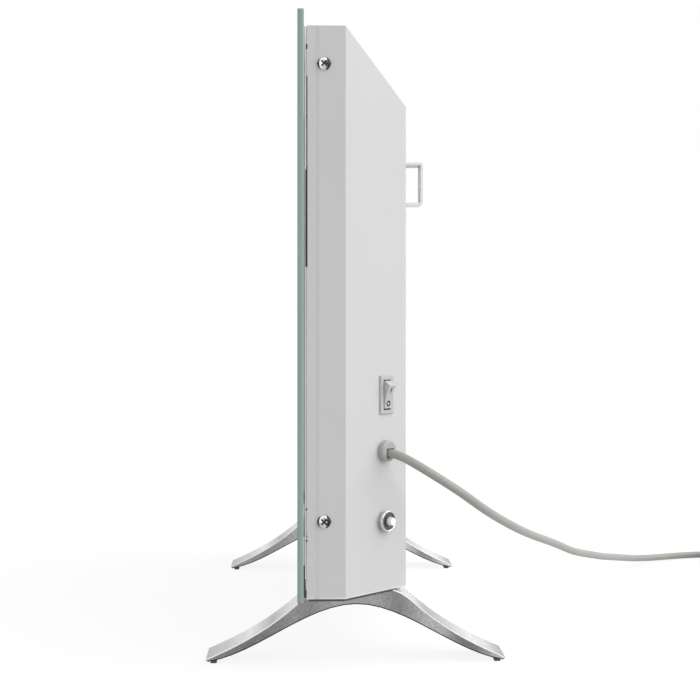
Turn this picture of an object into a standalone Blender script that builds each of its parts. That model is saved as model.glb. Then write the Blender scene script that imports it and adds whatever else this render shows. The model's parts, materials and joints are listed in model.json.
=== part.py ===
"""Convector heater with a glass front, a folded steel housing, two curved feet and a mains lead.

Metres, +Z up. The origin is on the floor under the middle of the feet. The glass faces -Y, and the
side that carries the switch, the cord gland and the reset button is on +X.
"""
import math

import bmesh
import bpy
import numpy as np
from mathutils import Matrix, Vector

# Fits that every piece shares
GAP = 0.0003
CUT_OVERRUN = 0.002
CORNER_STEPS = 4
SLOT_END_STEPS = 3
ROUND = math.radians(35)
SMALL_SIDES = 12
HOLE_SIDES = 16
BUSH_SIDES = 20
TURNED_SIDES = 24
GLAND_SIDES = 28
RING_SIDES = 32

# Glass
GLASS_WIDTH = 0.560
GLASS_HEIGHT = 0.4608
GLASS_THICKNESS = 0.005
GLASS_CORNER_RADIUS = 0.0015
GLASS_EDGE_CHAMFER = 0.0006
GLASS_HANG = 0.0015
GLASS_FRONT_OFFSET = 0.04735
TAPE_THICKNESS = 0.0005
TAPE_WIDTH = 0.012
TAPE_EDGE_INSET = 0.0006
TAPE_FOOT_CLEAR = 0.027
TAPE_NOTCH_WIDTH = 0.006

# Housing of folded sheet
FOOT_HEIGHT = 0.060
SIDE_MARGIN = 0.010
TOP_MARGIN = 0.0115
HOUSING_SHEET = 0.001
SIDE_WALL_DEPTH = 0.03055
CHAMFER_DEPTH = 0.0506
CHAMFER_WIDTH = 0.0506
TOP_CHAMFER_DROP = 0.056
SEAM_GAP = 0.00045
GROOVE_DEPTH = 0.00025
GROOVE_WIDTH = 0.0036
GROOVE_SETBACK = 0.008

# Front plate
PLATE_SHEET = 0.0006
PLATE_FLANGE_DEPTH = 0.024
PLATE_NOTCH_HEIGHT = 0.0162
PLATE_NOTCH_WIDTH = 0.006
CLIP_HEIGHT = 0.0076
CLIP_WIDTH = 0.0045
CLIP_PROUD = 0.0003

# Slots along the seam: height of the middle above the housing's floor, and length
SEAM_SLOT_DEPTH = 0.0007
SEAM_SLOT_EDGE = 0.0002
SEAM_SLOTS = ((0.3338, 0.1489), (0.4311, 0.0037), (0.0706, 0.0012), (0.0494, 0.0012), (0.0463, 0.0012))

# Air slots
AIR_SLOT_LENGTH = 0.050
AIR_SLOT_WIDTH = 0.0036
AIR_SLOT_BRIDGE = 0.008
AIR_ROW_BRIDGE = 0.0079
AIR_SLOT_EDGE = 0.008

# Screws in the side walls
SCREW_HEAD_RADIUS = 0.00525
SCREW_HEAD_HEIGHT = 0.0024
SCREW_SHANK_RADIUS = 0.0019
SCREW_LENGTH = 0.008
SCREW_SETBACK = 0.0137
SCREW_TOP_MARGIN = 0.0298
SCREW_BOTTOM_MARGIN = 0.0608
SCREW_SLOT_HEIGHT = 0.005
SCREW_SLOT_REACH = 0.0059
CROSS_LENGTH = 0.0044
CROSS_WIDTH = 0.0011
CROSS_DEPTH = 0.0013
CROSS_ANGLE = math.radians(37)
SCREW_HEAD_SHARES = ((0.55, 1.0), (0.82, 0.86), (0.96, 0.55), (1.0, 0.0))

# Hanger brackets on the back
HANGER_WIDTH = 0.030
HANGER_STRAP = 0.002
HANGER_REACH = 0.0171
HANGER_HEIGHT = 0.0358
HANGER_DROP = 0.042
HANGER_FLANGE = 0.014
HANGER_SIDE_INSET = 0.0354
HANGER_BEND_RADIUS = 0.0018
HANGER_HOLE_RADIUS = 0.0032
RIVET_RADIUS = 0.0016
RIVET_HEAD_RADIUS = 0.0031
RIVET_HEAD_HEIGHT = 0.0012

# Feet
FOOT_WIDTH = 0.040
FOOT_SIDE_INSET = 0.042
FOOT_HALF_SPAN = 0.12195
FOOT_FLAT_HALF = 0.026
FOOT_SHOULDER_RUN = 0.020
FOOT_SHOULDER_STEPS = 5
FOOT_LEG_STEPS = 9
FOOT_ARCH_STEPS = 12
FOOT_SHOULDER_DROP = 0.010
FOOT_SHOULDER_SLOPE = -0.90
FOOT_TOE_SLOPE = -0.42
FOOT_TOE_TOP = 0.0036
FOOT_TOE_UNDERSIDE = 0.0018
FOOT_TOE_CUT = 0.0024
FOOT_CROWN_THICKNESS = 0.0121
FOOT_ARCH_END_SLOPE = -0.15
FOOT_EDGE_BEVEL = 0.0005
FOOT_BEVEL_ANGLE = math.radians(50)
PAD_LENGTH = 0.005
PAD_SETBACK = 0.0042
PAD_SIDE_INSET = 0.003
BOLT_SPREAD = 0.028
BOLT_SHANK_RADIUS = 0.0029
BOLT_HEAD_RADIUS = 0.005
BOLT_HEAD_HEIGHT = 0.0032
BOLT_SOCKET_RADIUS = 0.0021
BOLT_SOCKET_DEPTH = 0.0018
BOLT_SEAT_COVER = 0.0075
NUT_PLATE_WIDTH = 0.026
NUT_PLATE_LENGTH = 0.046
NUT_PLATE_THICKNESS = 0.0025

# Places on the side chamfer: distance behind the glass face, and heights above the housing's floor
CONTROL_SETBACK = 0.0698
SWITCH_OFFSET = 0.0017
SWITCH_RISE = 0.1577
GLAND_RISE = 0.1128
RESET_RISE = 0.0567

# Rocker switch
BEZEL_WIDTH = 0.0155
BEZEL_LENGTH = 0.0308
BEZEL_PROUD = 0.0016
BEZEL_CHAMFER = 0.0005
SWITCH_BODY_WIDTH = 0.012
SWITCH_BODY_LENGTH = 0.0274
SWITCH_BODY_DEPTH = 0.018
SWITCH_WELL_WIDTH = 0.0087
SWITCH_WELL_LENGTH = 0.0242
SWITCH_WELL_DEPTH = 0.009
ROCKER_WIDTH = 0.008
ROCKER_VALLEY = 0.0041
ROCKER_CREST = 0.0055
ROCKER_CREST_REACH = 0.00985
ROCKER_END_REACH = 0.0117
ROCKER_FACE_STEPS = 3
ROCKER_END_DROP = 0.0008
ROCKER_FLOOR_REACH = 0.009
ROCKER_FLOOR_DROP = 0.005
ROCKER_EDGE_BEVEL = 0.0004
ROCKER_BEVEL_ANGLE = math.radians(40)
ROCKER_TILT = math.radians(16)
TRUNNION_RADIUS = 0.0012
TRUNNION_LENGTH = 0.0008
TAB_WIDTH = 0.0048
TAB_THICKNESS = 0.0008
TAB_LENGTH = 0.008
TAB_EMBED = 0.003
TAB_SPREAD = 0.016

# Reset breaker
BREAKER_WIDTH = 0.014
BREAKER_LENGTH = 0.030
BREAKER_DEPTH = 0.020
NECK_RADIUS = 0.005
NECK_PROUD = 0.0038
COLLAR_RADIUS = 0.0042
COLLAR_PROUD = 0.0054
HEX_FLATS = 0.015
HEX_THICKNESS = 0.0020
RING_RADIUS = 0.00875
RING_WALL = 0.0018
RING_HEIGHT = 0.0025
RING_FLOOR = 0.0005
RING_CHAMFER = 0.0003
BUTTON_RADIUS = 0.0032
BUTTON_PROUD = 0.0098
BUTTON_DOME = 0.0007
BUTTON_EDGE_SHARES = ((0.0, 0.0), (0.4, 0.7), (1.0, 1.0))
BUTTON_LENGTH = 0.0113
BUTTON_TRAVEL = 0.002

# Cord gland
GLAND_BASE_RADIUS = 0.0084
GLAND_TIP_RADIUS = 0.0071
GLAND_PROUD = 0.0062
GLAND_EDGE_SHARES = ((0.0, 1.0), (0.3, 0.7), (1.0, 0.0))
GLAND_NECK_RADIUS = 0.0058
GLAND_BARB_RADIUS = 0.0069
GLAND_BARB_LENGTH = 0.0018
GLAND_TAIL_RADIUS = 0.0048
GLAND_TAIL_LENGTH = 0.014
GLAND_MOUTH_WIDTH = 0.0082
GLAND_MOUTH_DEPTH = 0.0022
GLAND_MOUTH_DROP = 0.0018

# Heating element
ELEMENT_END_CLEAR = 0.0188
ELEMENT_RISE = 0.070
ELEMENT_Y = 0.002
ELEMENT_CORE_RADIUS = 0.009
ELEMENT_FIN_HEIGHT = 0.030
ELEMENT_FIN_REACH = 0.022
ELEMENT_FIN_THICKNESS = 0.0016
ELEMENT_FINS = 12
ELEMENT_BORE_RADIUS = 0.0043
ROD_RADIUS = 0.004
ROD_PROUD = 0.026
BUSH_RADIUS = 0.008
BUSH_FLANGE_RADIUS = 0.0105
BUSH_LENGTH = 0.008
BUSH_FLANGE_THICKNESS = 0.0025
BRACKET_SHEET = 0.0012
BRACKET_SETBACK = 0.010
BRACKET_HALF_DEPTH = 0.022
BRACKET_RISE = 0.016
BRACKET_FOOT = 0.014

# Air deflector and overheat cut-out
DEFLECTOR_SHEET = 0.0008
DEFLECTOR_STANDOFF = 0.009
DEFLECTOR_END_INSET = 0.005
DEFLECTOR_RISE = 0.020
DEFLECTOR_HEIGHT = 0.220
CUTOUT_RISE = 0.176
CUTOUT_RADIUS = 0.008
CUTOUT_FLANGE_RADIUS = 0.012
CUTOUT_FLANGE_THICKNESS = 0.001
CUTOUT_HEIGHT = 0.008

# Electrical boxes
BLOCK_WIDTH = 0.026
BLOCK_DEPTH = 0.018
BLOCK_HEIGHT = 0.014
BLOCK_WALL_CLEAR = 0.008
BLOCK_FRONT_CLEAR = 0.008
TIP_SWITCH_WIDTH = 0.024
TIP_SWITCH_DEPTH = 0.022
TIP_SWITCH_HEIGHT = 0.030
BOX_BEVEL = 0.001
TRAY_WIDTH = 0.100
TRAY_HEIGHT = 0.080
TRAY_DEPTH = 0.016
TRAY_WALL = 0.0018
TRAY_SIDE_CLEAR = 0.012
TRAY_RISE = 0.260
BOARD_THICKNESS = 0.0016
BOARD_PART_HEIGHT = 0.007
BOARD_PART_WIDTH = 0.028
BOARD_PART_LENGTH = 0.036

# Inner leads
LEAD_RADIUS = 0.0014
INNER_LEAD_RADIUS = 0.0032
INNER_LEAD_STRAIGHT = 0.004
LEAD_FRONT_SHARE = 0.2
LEAD_MIDDLE_SHARE = 0.5
LEAD_REAR_SHARE = 0.8
LEAD_POINT_SPACING = 0.012

# Mains lead
CORD_RADIUS = 0.0035
CORD_POINT_SPACING = 0.017
CORD_STRAIGHT = 0.003
COIL_MEAN_RADIUS = 0.0355
COIL_TURNS = 3.25
COIL_TURN_PITCH = 0.0075
COIL_LOOP_POINTS = 24
NEAR_ALONG_RADII = 6
TIE_THICKNESS = 0.0006
TIE_WIDTH = 0.010
TIE_SLACK = 0.0010
PLUG_RADIUS = 0.0175
PLUG_BODY_LENGTH = 0.020
PLUG_TAPER_LENGTH = 0.026
PLUG_TAIL_RADIUS = 0.0048
PLUG_NECK_RADIUS = 0.0085
PLUG_EDGE_RADIUS = 0.002
PLUG_TAIL_RUN = 0.064
PIN_RADIUS = 0.0024
PIN_LENGTH = 0.019
PIN_SPREAD = 0.019
PIN_EMBED = 0.006
PIN_TIP = 0.001

# The lead's own route from the gland to the coil, chosen by hand
CORD_ROUTE = (
    (0.2500, 0.0350, 0.1694),
    (0.2585, 0.0455, 0.1644),
    (0.2635, 0.0566, 0.1580),
    (0.2640, 0.0691, 0.1502),
    (0.2585, 0.0822, 0.1413),
    (0.2465, 0.0963, 0.1305),
    (0.2250, 0.1119, 0.1189),
    (0.1940, 0.1293, 0.1066),
    (0.1540, 0.1488, 0.0937),
    (0.1070, 0.1704, 0.0806),
    (0.0560, 0.1937, 0.0668),
    (0.0030, 0.2186, 0.0515),
    (-0.0500, 0.2446, 0.0390),
    (-0.1010, 0.2700, 0.0278),
    (-0.1480, 0.2950, 0.0185),
    (-0.1850, 0.3200, 0.0110),
    (-0.2170, 0.3500, 0.0058),
    (-0.2380, 0.3880, 0.0044),
)
COIL_START_X = -0.2455
COIL_START_Y = 0.4470

# Finishes: colour, roughness, metallic
FINISHES = {
    "glass": ((0.30, 0.42, 0.38), 0.05, 0.0),
    "painted_steel": ((0.53, 0.53, 0.53), 0.45, 0.0),
    "white_steel": ((0.80, 0.80, 0.80), 0.35, 0.0),
    "brushed_aluminium": ((0.62, 0.62, 0.61), 0.30, 1.0),
    "bare_aluminium": ((0.70, 0.70, 0.70), 0.45, 1.0),
    "chrome": ((0.80, 0.80, 0.80), 0.08, 1.0),
    "zinc_steel": ((0.60, 0.60, 0.58), 0.35, 1.0),
    "tan_steel": ((0.42, 0.38, 0.30), 0.40, 0.6),
    "grey_plastic": ((0.50, 0.53, 0.48), 0.45, 0.0),
    "light_plastic": ((0.62, 0.62, 0.62), 0.40, 0.0),
    "black_plastic": ((0.03, 0.03, 0.03), 0.45, 0.0),
    "white_plastic": ((0.86, 0.86, 0.86), 0.30, 0.0),
    "ceramic": ((0.80, 0.77, 0.70), 0.60, 0.0),
    "rubber": ((0.10, 0.10, 0.10), 0.80, 0.0),
    "tape": ((0.70, 0.70, 0.70), 0.80, 0.0),
    "circuit_board": ((0.03, 0.22, 0.09), 0.50, 0.0),
    "brass": ((0.75, 0.58, 0.28), 0.30, 1.0),
    "cord_grey": ((0.37, 0.37, 0.34), 0.50, 0.0),
}

# Places that follow from the sizes above
GLASS_FRONT_Y = -GLASS_FRONT_OFFSET
GLASS_BACK_Y = GLASS_FRONT_Y + GLASS_THICKNESS
TAPE_FRONT_Y = GLASS_BACK_Y + GAP
PLATE_FRONT_Y = TAPE_FRONT_Y + TAPE_THICKNESS + GAP
PLATE_BACK_Y = PLATE_FRONT_Y + PLATE_SHEET
HOUSING_FRONT_Y = PLATE_BACK_Y + SEAM_GAP
BEND_Y = HOUSING_FRONT_Y + SIDE_WALL_DEPTH
BACK_Y = BEND_Y + CHAMFER_DEPTH
HALF_WIDTH = GLASS_WIDTH / 2 - SIDE_MARGIN
FLOOR_Z = FOOT_HEIGHT
GLASS_BOTTOM_Z = FLOOR_Z - GLASS_HANG
GLASS_TOP_Z = GLASS_BOTTOM_Z + GLASS_HEIGHT
TOP_Z = GLASS_TOP_Z - TOP_MARGIN
BACK_HALF_WIDTH = HALF_WIDTH - CHAMFER_WIDTH
BACK_TOP_Z = TOP_Z - TOP_CHAMFER_DROP
SIDE_TURN = math.atan2(CHAMFER_WIDTH, CHAMFER_DEPTH)
TOP_TURN = math.atan2(TOP_CHAMFER_DROP, CHAMFER_DEPTH)
INNER_HALF_WIDTH = HALF_WIDTH - HOUSING_SHEET
INNER_FLOOR_Z = FLOOR_Z + HOUSING_SHEET
SCREW_Y = HOUSING_FRONT_Y + SCREW_SETBACK
SWITCH_Z = FLOOR_Z + SWITCH_RISE
GLAND_Z = FLOOR_Z + GLAND_RISE
RESET_Z = FLOOR_Z + RESET_RISE
ELEMENT_Z = FLOOR_Z + ELEMENT_RISE
DEFLECTOR_BOTTOM = FLOOR_Z + DEFLECTOR_RISE
CUTOUT_Z = FLOOR_Z + CUTOUT_RISE
TRAY_BOTTOM = FLOOR_Z + TRAY_RISE
FLANGE_OUTER = INNER_HALF_WIDTH - GAP
FOOT_CENTRE = HALF_WIDTH - FOOT_SIDE_INSET - FOOT_WIDTH / 2
FOOT_ARCH_HEIGHT = FOOT_HEIGHT - GAP - FOOT_CROWN_THICKNESS
AIR_SLOT_PITCH = AIR_SLOT_LENGTH + AIR_SLOT_BRIDGE
AIR_ROW_PITCH = AIR_SLOT_WIDTH + AIR_ROW_BRIDGE
HANGER_BOTTOM = BACK_TOP_Z - HANGER_DROP - HANGER_HEIGHT
HANGER_INNER_EDGE = BACK_HALF_WIDTH - HANGER_SIDE_INSET - HANGER_WIDTH
ELEMENT_SPACE = FOOT_CENTRE - NUT_PLATE_WIDTH / 2 - ELEMENT_END_CLEAR
ELEMENT_HALF_LENGTH = ELEMENT_SPACE - BRACKET_SETBACK - BRACKET_SHEET
COIL_OUTER_RADIUS = COIL_MEAN_RADIUS + COIL_TURN_PITCH * COIL_TURNS / 4
COIL_BOTTOM_Z = TIE_THICKNESS + GAP + CORD_RADIUS

finishes = {}


def finish_named(name):
    """Return the Principled material of one finish."""
    if name not in finishes:
        colour, roughness, metallic = FINISHES[name]
        material = bpy.data.materials.new(name)
        material.use_nodes = True
        shader = material.node_tree.nodes["Principled BSDF"]
        shader.inputs["Base Color"].default_value = (*colour, 1.0)
        shader.inputs["Roughness"].default_value = roughness
        shader.inputs["Metallic"].default_value = metallic
        finishes[name] = material
    return finishes[name]


def clear_scene():
    """Take out whatever the file already holds."""
    for old in list(bpy.data.objects):
        bpy.data.objects.remove(old, do_unlink=True)


def place(thing, parent=None, location=(0, 0, 0), rotation=(0, 0, 0)):
    """Link an object to the scene and set where it stands."""
    bpy.context.scene.collection.objects.link(thing)
    thing.parent = parent
    thing.location = location
    thing.rotation_euler = rotation
    return thing


def add_stack(bm, loops, ring):
    """Bridge a stack of loops with quads, and cap its ends unless it closes on itself."""
    rings = [[bm.verts.new(point) for point in loop] for loop in loops]
    pairs = list(zip(rings, rings[1:]))
    if ring:
        pairs.append((rings[-1], rings[0]))
    for near, far in pairs:
        count = len(near)
        for index in range(count):
            following = (index + 1) % count
            bm.faces.new((near[index], near[following], far[following], far[index]))
    if not ring:
        bm.faces.new(list(reversed(rings[0])))
        bm.faces.new(rings[-1])


def solid(name, stacks, finish, ring=False, smooth=None, **where):
    """Make one object from one or more stacks of loops."""
    bm = bmesh.new()
    for loops in stacks:
        add_stack(bm, loops, ring)
    bmesh.ops.recalc_face_normals(bm, faces=bm.faces)
    mesh = bpy.data.meshes.new(name)
    bm.to_mesh(mesh)
    bm.free()
    mesh.materials.append(finish_named(finish))
    if smooth is not None:
        mesh.shade_smooth()
        mesh.set_sharp_from_angle(angle=smooth)
    return place(bpy.data.objects.new(name, mesh), **where)


def box_loops(low, high):
    """Return the two loops of a box between two corners."""
    corners = ((low[0], low[1]), (high[0], low[1]), (high[0], high[1]), (low[0], high[1]))
    return [[Vector((x, y, z)) for x, y in corners] for z in (low[2], high[2])]


def wall_loop(half_width, low_z, high_z, y):
    """Return an upright rectangle across the heater at one depth."""
    return [Vector((-half_width, y, low_z)), Vector((half_width, y, low_z)),
            Vector((half_width, y, high_z)), Vector((-half_width, y, high_z))]


def turned_loops(profile, sides, matrix=None):
    """Return circles of a turned profile, given as radius and height pairs along local Z."""
    loops = []
    for radius, height in profile:
        loop = []
        for index in range(sides):
            angle = math.tau * index / sides
            point = Vector((radius * math.cos(angle), radius * math.sin(angle), height))
            loop.append(matrix @ point if matrix else point)
        loops.append(loop)
    return loops


def flat_loops(half_x, half_y, low_z, high_z):
    """Return the loops of a box centred on local Z."""
    return box_loops((-half_x, -half_y, low_z), (half_x, half_y, high_z))


def along_x(outline, low, high):
    """Return the loops of an outline in Y and Z, drawn out along X."""
    return [[Vector((x, y, z)) for y, z in outline] for x in (low, high)]


def along_z(outline, low, high):
    """Return the loops of an outline in X and Y, drawn out along Z."""
    return [[Vector((x, y, z)) for x, y in outline] for z in (low, high)]


def rounded_rectangle(half_width, low_z, high_z, radius, y):
    """Return an upright rectangle with round corners at one depth."""
    points = []
    corners = ((half_width, high_z, 0), (-half_width, high_z, 1),
               (-half_width, low_z, 2), (half_width, low_z, 3))
    for x, z, quarter in corners:
        centre_x = x - math.copysign(radius, x)
        centre_z = z + (radius if quarter > 1 else -radius)
        for step in range(CORNER_STEPS + 1):
            angle = math.pi / 2 * (quarter + step / CORNER_STEPS)
            across = centre_x + radius * math.cos(angle)
            points.append(Vector((across, y, centre_z + radius * math.sin(angle))))
    return points


def turn_to(axis, location):
    """Return the matrix that lays local Z along an axis from a place."""
    return Matrix.Translation(location) @ Vector(axis).to_track_quat("Z", "Y").to_matrix().to_4x4()


def as_tool(tool):
    """Mark an object as a shape that only cuts or joins another."""
    tool.hide_render = True
    tool.display_type = "WIRE"
    return tool


def combine(target, tool, operation):
    """Cut a tool out of an object, or join it on."""
    as_tool(tool)
    modifier = target.modifiers.new(tool.name, "BOOLEAN")
    modifier.operation = operation
    modifier.object = tool
    modifier.solver = "EXACT"


def cut(target, tool):
    """Cut a tool out of an object."""
    combine(target, tool, "DIFFERENCE")


def join(target, tool):
    """Join a shape on to an object."""
    combine(target, tool, "UNION")


def bevel(target, width, angle):
    """Break the sharp edges of an object."""
    modifier = target.modifiers.new("edges", "BEVEL")
    modifier.width = width
    modifier.segments = 1
    modifier.limit_method = "ANGLE"
    modifier.angle_limit = angle


def smooth_curve(points, heading_in, heading_out, spacing):
    """Return even points on a cubic spline through the given ones, with its two end headings given."""
    knots = np.array([tuple(point) for point in points])
    steps = np.linalg.norm(np.diff(knots, axis=0), axis=1)
    at = np.concatenate(([0.0], np.cumsum(steps)))
    count = len(knots)
    slopes = np.diff(knots, axis=0) / steps[:, None]
    system = np.zeros((count, count))
    right = np.zeros_like(knots)
    system[0, :2] = (2 * steps[0], steps[0])
    right[0] = 6 * (slopes[0] - np.array(heading_in))
    system[-1, -2:] = (steps[-1], 2 * steps[-1])
    right[-1] = 6 * (np.array(heading_out) - slopes[-1])
    for row in range(1, count - 1):
        system[row, row - 1:row + 2] = (steps[row - 1], 2 * (steps[row - 1] + steps[row]), steps[row])
        right[row] = 6 * (slopes[row] - slopes[row - 1])
    bend = np.linalg.solve(system, right)
    curve = []
    for distance in np.linspace(0.0, at[-1], max(2, round(at[-1] / spacing) + 1)):
        piece = min(int(np.searchsorted(at, distance, side="right")) - 1, count - 2)
        width = steps[piece]
        left = (at[piece + 1] - distance) / width
        rest = 1 - left
        value = left * knots[piece] + rest * knots[piece + 1]
        value = value + ((left**3 - left) * bend[piece] + (rest**3 - rest) * bend[piece + 1]) * width**2 / 6
        curve.append(Vector(value))
    return curve


def lead_line(start, heading_in, middle, end, heading_out, straight, spacing):
    """Return the centre line of a lead that runs straight at both ends and smoothly between."""
    knots = [start + heading_in * straight, *middle, end - heading_out * straight]
    return [start, *smooth_curve(knots, heading_in, heading_out, spacing), end]


def tube(name, points, radius, finish, resolution):
    """Make a round tube with closed ends along a line of points."""
    curve = bpy.data.curves.new(name, "CURVE")
    curve.dimensions = "3D"
    curve.bevel_depth = radius
    curve.bevel_resolution = resolution
    curve.use_fill_caps = True
    spline = curve.splines.new("POLY")
    spline.points.add(len(points) - 1)
    for target, point in zip(spline.points, points):
        target.co = (*point, 1.0)
    spline.use_smooth = True
    curve.materials.append(finish_named(finish))
    return place(bpy.data.objects.new(name, curve))


def make_panel_frame():
    """Set an empty on the side chamfer: its X runs to the rear, its Y up and its Z out of the sheet."""
    frame = bpy.data.objects.new("control_panel_frame", None)
    y = GLASS_FRONT_Y + CONTROL_SETBACK
    x = HALF_WIDTH - (y - BEND_Y) * CHAMFER_WIDTH / CHAMFER_DEPTH
    rear = Vector((-CHAMFER_WIDTH, CHAMFER_DEPTH, 0)).normalized()
    out = rear.cross(Vector((0, 0, 1)))
    turn = Matrix((rear, Vector((0, 0, 1)), out)).transposed()
    place(frame, location=(x, y, 0), rotation=turn.to_euler())
    return frame, Matrix.Translation((x, y, 0)) @ turn.to_4x4()


def make_glass():
    """Make the toughened glass panel and the tapes that bond it to the front plate."""
    half = GLASS_WIDTH / 2
    chamfer = GLASS_EDGE_CHAMFER
    inset = (half - chamfer, GLASS_BOTTOM_Z + chamfer, GLASS_TOP_Z - chamfer, GLASS_CORNER_RADIUS - chamfer)
    full = (half, GLASS_BOTTOM_Z, GLASS_TOP_Z, GLASS_CORNER_RADIUS)
    loops = [rounded_rectangle(*inset, GLASS_FRONT_Y),
             rounded_rectangle(*full, GLASS_FRONT_Y + chamfer),
             rounded_rectangle(*full, GLASS_BACK_Y - chamfer),
             rounded_rectangle(*inset, GLASS_BACK_Y)]
    solid("glass_panel", [loops], "glass", smooth=ROUND)
    outer = HALF_WIDTH - TAPE_EDGE_INSET
    inner = outer - TAPE_WIDTH
    notch = outer - TAPE_NOTCH_WIDTH
    low = FLOOR_Z + TAPE_EDGE_INSET
    clear = FLOOR_Z + TAPE_FOOT_CLEAR
    high = TOP_Z - TAPE_EDGE_INSET
    outline = [(inner, low), (notch, low), (notch, clear), (outer, clear), (outer, high), (inner, high)]
    faces = (TAPE_FRONT_Y, TAPE_FRONT_Y + TAPE_THICKNESS)
    for side, name in ((-1, "left"), (1, "right")):
        loops = [[Vector((side * x, y, z)) for x, z in outline] for y in faces]
        solid("glass_tape_" + name, [loops], "tape")


def side_hole_loops(side, z, radius, length):
    """Return a round cutter through one side wall and the flange behind it."""
    matrix = turn_to((side, 0, 0), (side * (FLANGE_OUTER - length), SCREW_Y, z))
    far = length + HOUSING_SHEET + GAP + CUT_OVERRUN
    return turned_loops(((radius, 0), (radius, far)), HOLE_SIDES, matrix)


def screw_places():
    """Return side, name and height of each side screw."""
    heights = (("upper", TOP_Z - SCREW_TOP_MARGIN), ("lower", FLOOR_Z + SCREW_BOTTOM_MARGIN))
    sides = ((-1, "left"), (1, "right"))
    return [(side, side_name + "_" + name, z) for side, side_name in sides for name, z in heights]


def make_front_plate():
    """Make the white steel plate behind the glass, with its two side flanges and its edge clips."""
    low = (-HALF_WIDTH, PLATE_FRONT_Y, FLOOR_Z)
    high = (HALF_WIDTH, PLATE_BACK_Y, TOP_Z)
    plate = solid("front_plate", [box_loops(low, high)], "white_steel")
    overlap = PLATE_SHEET / 2
    flanges = []
    notches = []
    for side in (-1, 1):
        edges = sorted((side * FLANGE_OUTER, side * (FLANGE_OUTER - PLATE_SHEET)))
        flanges.append(box_loops((edges[0], PLATE_BACK_Y - overlap, INNER_FLOOR_Z + GAP),
                                 (edges[1], PLATE_BACK_Y + PLATE_FLANGE_DEPTH, TOP_Z - HOUSING_SHEET - GAP)))
        notch = sorted((side * (HALF_WIDTH + CUT_OVERRUN), side * (HALF_WIDTH - PLATE_NOTCH_WIDTH)))
        notches.append(box_loops((notch[0], PLATE_FRONT_Y - CUT_OVERRUN, FLOOR_Z - CUT_OVERRUN),
                                 (notch[1], PLATE_BACK_Y + CUT_OVERRUN, FLOOR_Z + PLATE_NOTCH_HEIGHT)))
    join(plate, solid("plate_flanges", flanges, "white_steel"))
    cut(plate, solid("cutter_plate_notches", notches, "white_steel"))
    bore = SCREW_SHANK_RADIUS + GAP
    holes = [side_hole_loops(side, z, bore, SCREW_LENGTH) for side, _, z in screw_places()]
    cut(plate, solid("cutter_plate_screws", holes, "white_steel"))
    flange_slots = seam_slot_stacks(FLANGE_OUTER - PLATE_SHEET - CUT_OVERRUN, FLANGE_OUTER + GAP / 2,
                                    PLATE_BACK_Y + SEAM_SLOT_EDGE)
    cut(plate, solid("cutter_flange_slots", flange_slots, "white_steel"))
    clip_top = FLOOR_Z + PLATE_NOTCH_HEIGHT - GAP
    for side, name in ((-1, "left"), (1, "right")):
        inner = HALF_WIDTH - PLATE_NOTCH_WIDTH + GAP
        edges = sorted((side * inner, side * (inner + CLIP_WIDTH)))
        clip = box_loops((edges[0], PLATE_FRONT_Y - CLIP_PROUD, clip_top - CLIP_HEIGHT),
                         (edges[1], PLATE_BACK_Y, clip_top))
        solid("glass_clip_" + name, [clip], "tan_steel")


def slot_outline(centre, length, width):
    """Return a slot outline with round ends, lengthwise along the first axis."""
    radius = width / 2
    points = []
    for side, start in ((1, -math.pi / 2), (-1, math.pi / 2)):
        for step in range(SLOT_END_STEPS):
            angle = start + math.pi * step / (SLOT_END_STEPS - 1)
            points.append((centre[0] + side * (length / 2 - radius) + radius * math.cos(angle),
                           centre[1] + radius * math.sin(angle)))
    return points


def slot_rows(half_width, run):
    """Return the places of the air slots on a strip of sheet, row by row."""
    columns = max(1, int((2 * (half_width - AIR_SLOT_EDGE) - AIR_SLOT_LENGTH) / AIR_SLOT_PITCH) + 1)
    rows = max(1, int((run - 2 * AIR_SLOT_EDGE) / AIR_ROW_PITCH) + 1)
    return [((column - (columns - 1) / 2) * AIR_SLOT_PITCH, (row - (rows - 1) / 2) * AIR_ROW_PITCH)
            for row in range(rows) for column in range(columns)]


def air_slot_stacks():
    """Return the cutters of the inlet slots in the floor and the outlet slots in the top."""
    thickness = HOUSING_SHEET + CUT_OVERRUN
    stacks = []
    floor_half = ELEMENT_HALF_LENGTH - BRACKET_FOOT
    for x, y in slot_rows(floor_half, BACK_Y - HOUSING_FRONT_Y):
        outline = slot_outline((x, y + (BACK_Y + HOUSING_FRONT_Y) / 2), AIR_SLOT_LENGTH, AIR_SLOT_WIDTH)
        stacks.append(along_z(outline, FLOOR_Z - CUT_OVERRUN, FLOOR_Z + thickness))
    for x, y in slot_rows(HALF_WIDTH, SIDE_WALL_DEPTH):
        centre = (x, y + HOUSING_FRONT_Y + SIDE_WALL_DEPTH / 2)
        outline = slot_outline(centre, AIR_SLOT_LENGTH, AIR_SLOT_WIDTH)
        stacks.append(along_z(outline, TOP_Z - thickness, TOP_Z + CUT_OVERRUN))
    slope = math.hypot(CHAMFER_DEPTH, TOP_CHAMFER_DROP)
    middle = Vector((0, BEND_Y + CHAMFER_DEPTH / 2, TOP_Z - TOP_CHAMFER_DROP / 2))
    tilt = Matrix.Translation(middle) @ Matrix.Rotation(-TOP_TURN, 4, "X")
    for x, y in slot_rows(BACK_HALF_WIDTH, slope):
        loops = along_z(slot_outline((x, y), AIR_SLOT_LENGTH, AIR_SLOT_WIDTH), -thickness, CUT_OVERRUN)
        stacks.append([[tilt @ point for point in loop] for loop in loops])
    return stacks


def wall_edges(side):
    """Return the low and high X of a cutter through one side wall alone."""
    return sorted((side * (INNER_HALF_WIDTH - GAP / 2), side * (HALF_WIDTH + CUT_OVERRUN)))


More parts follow.
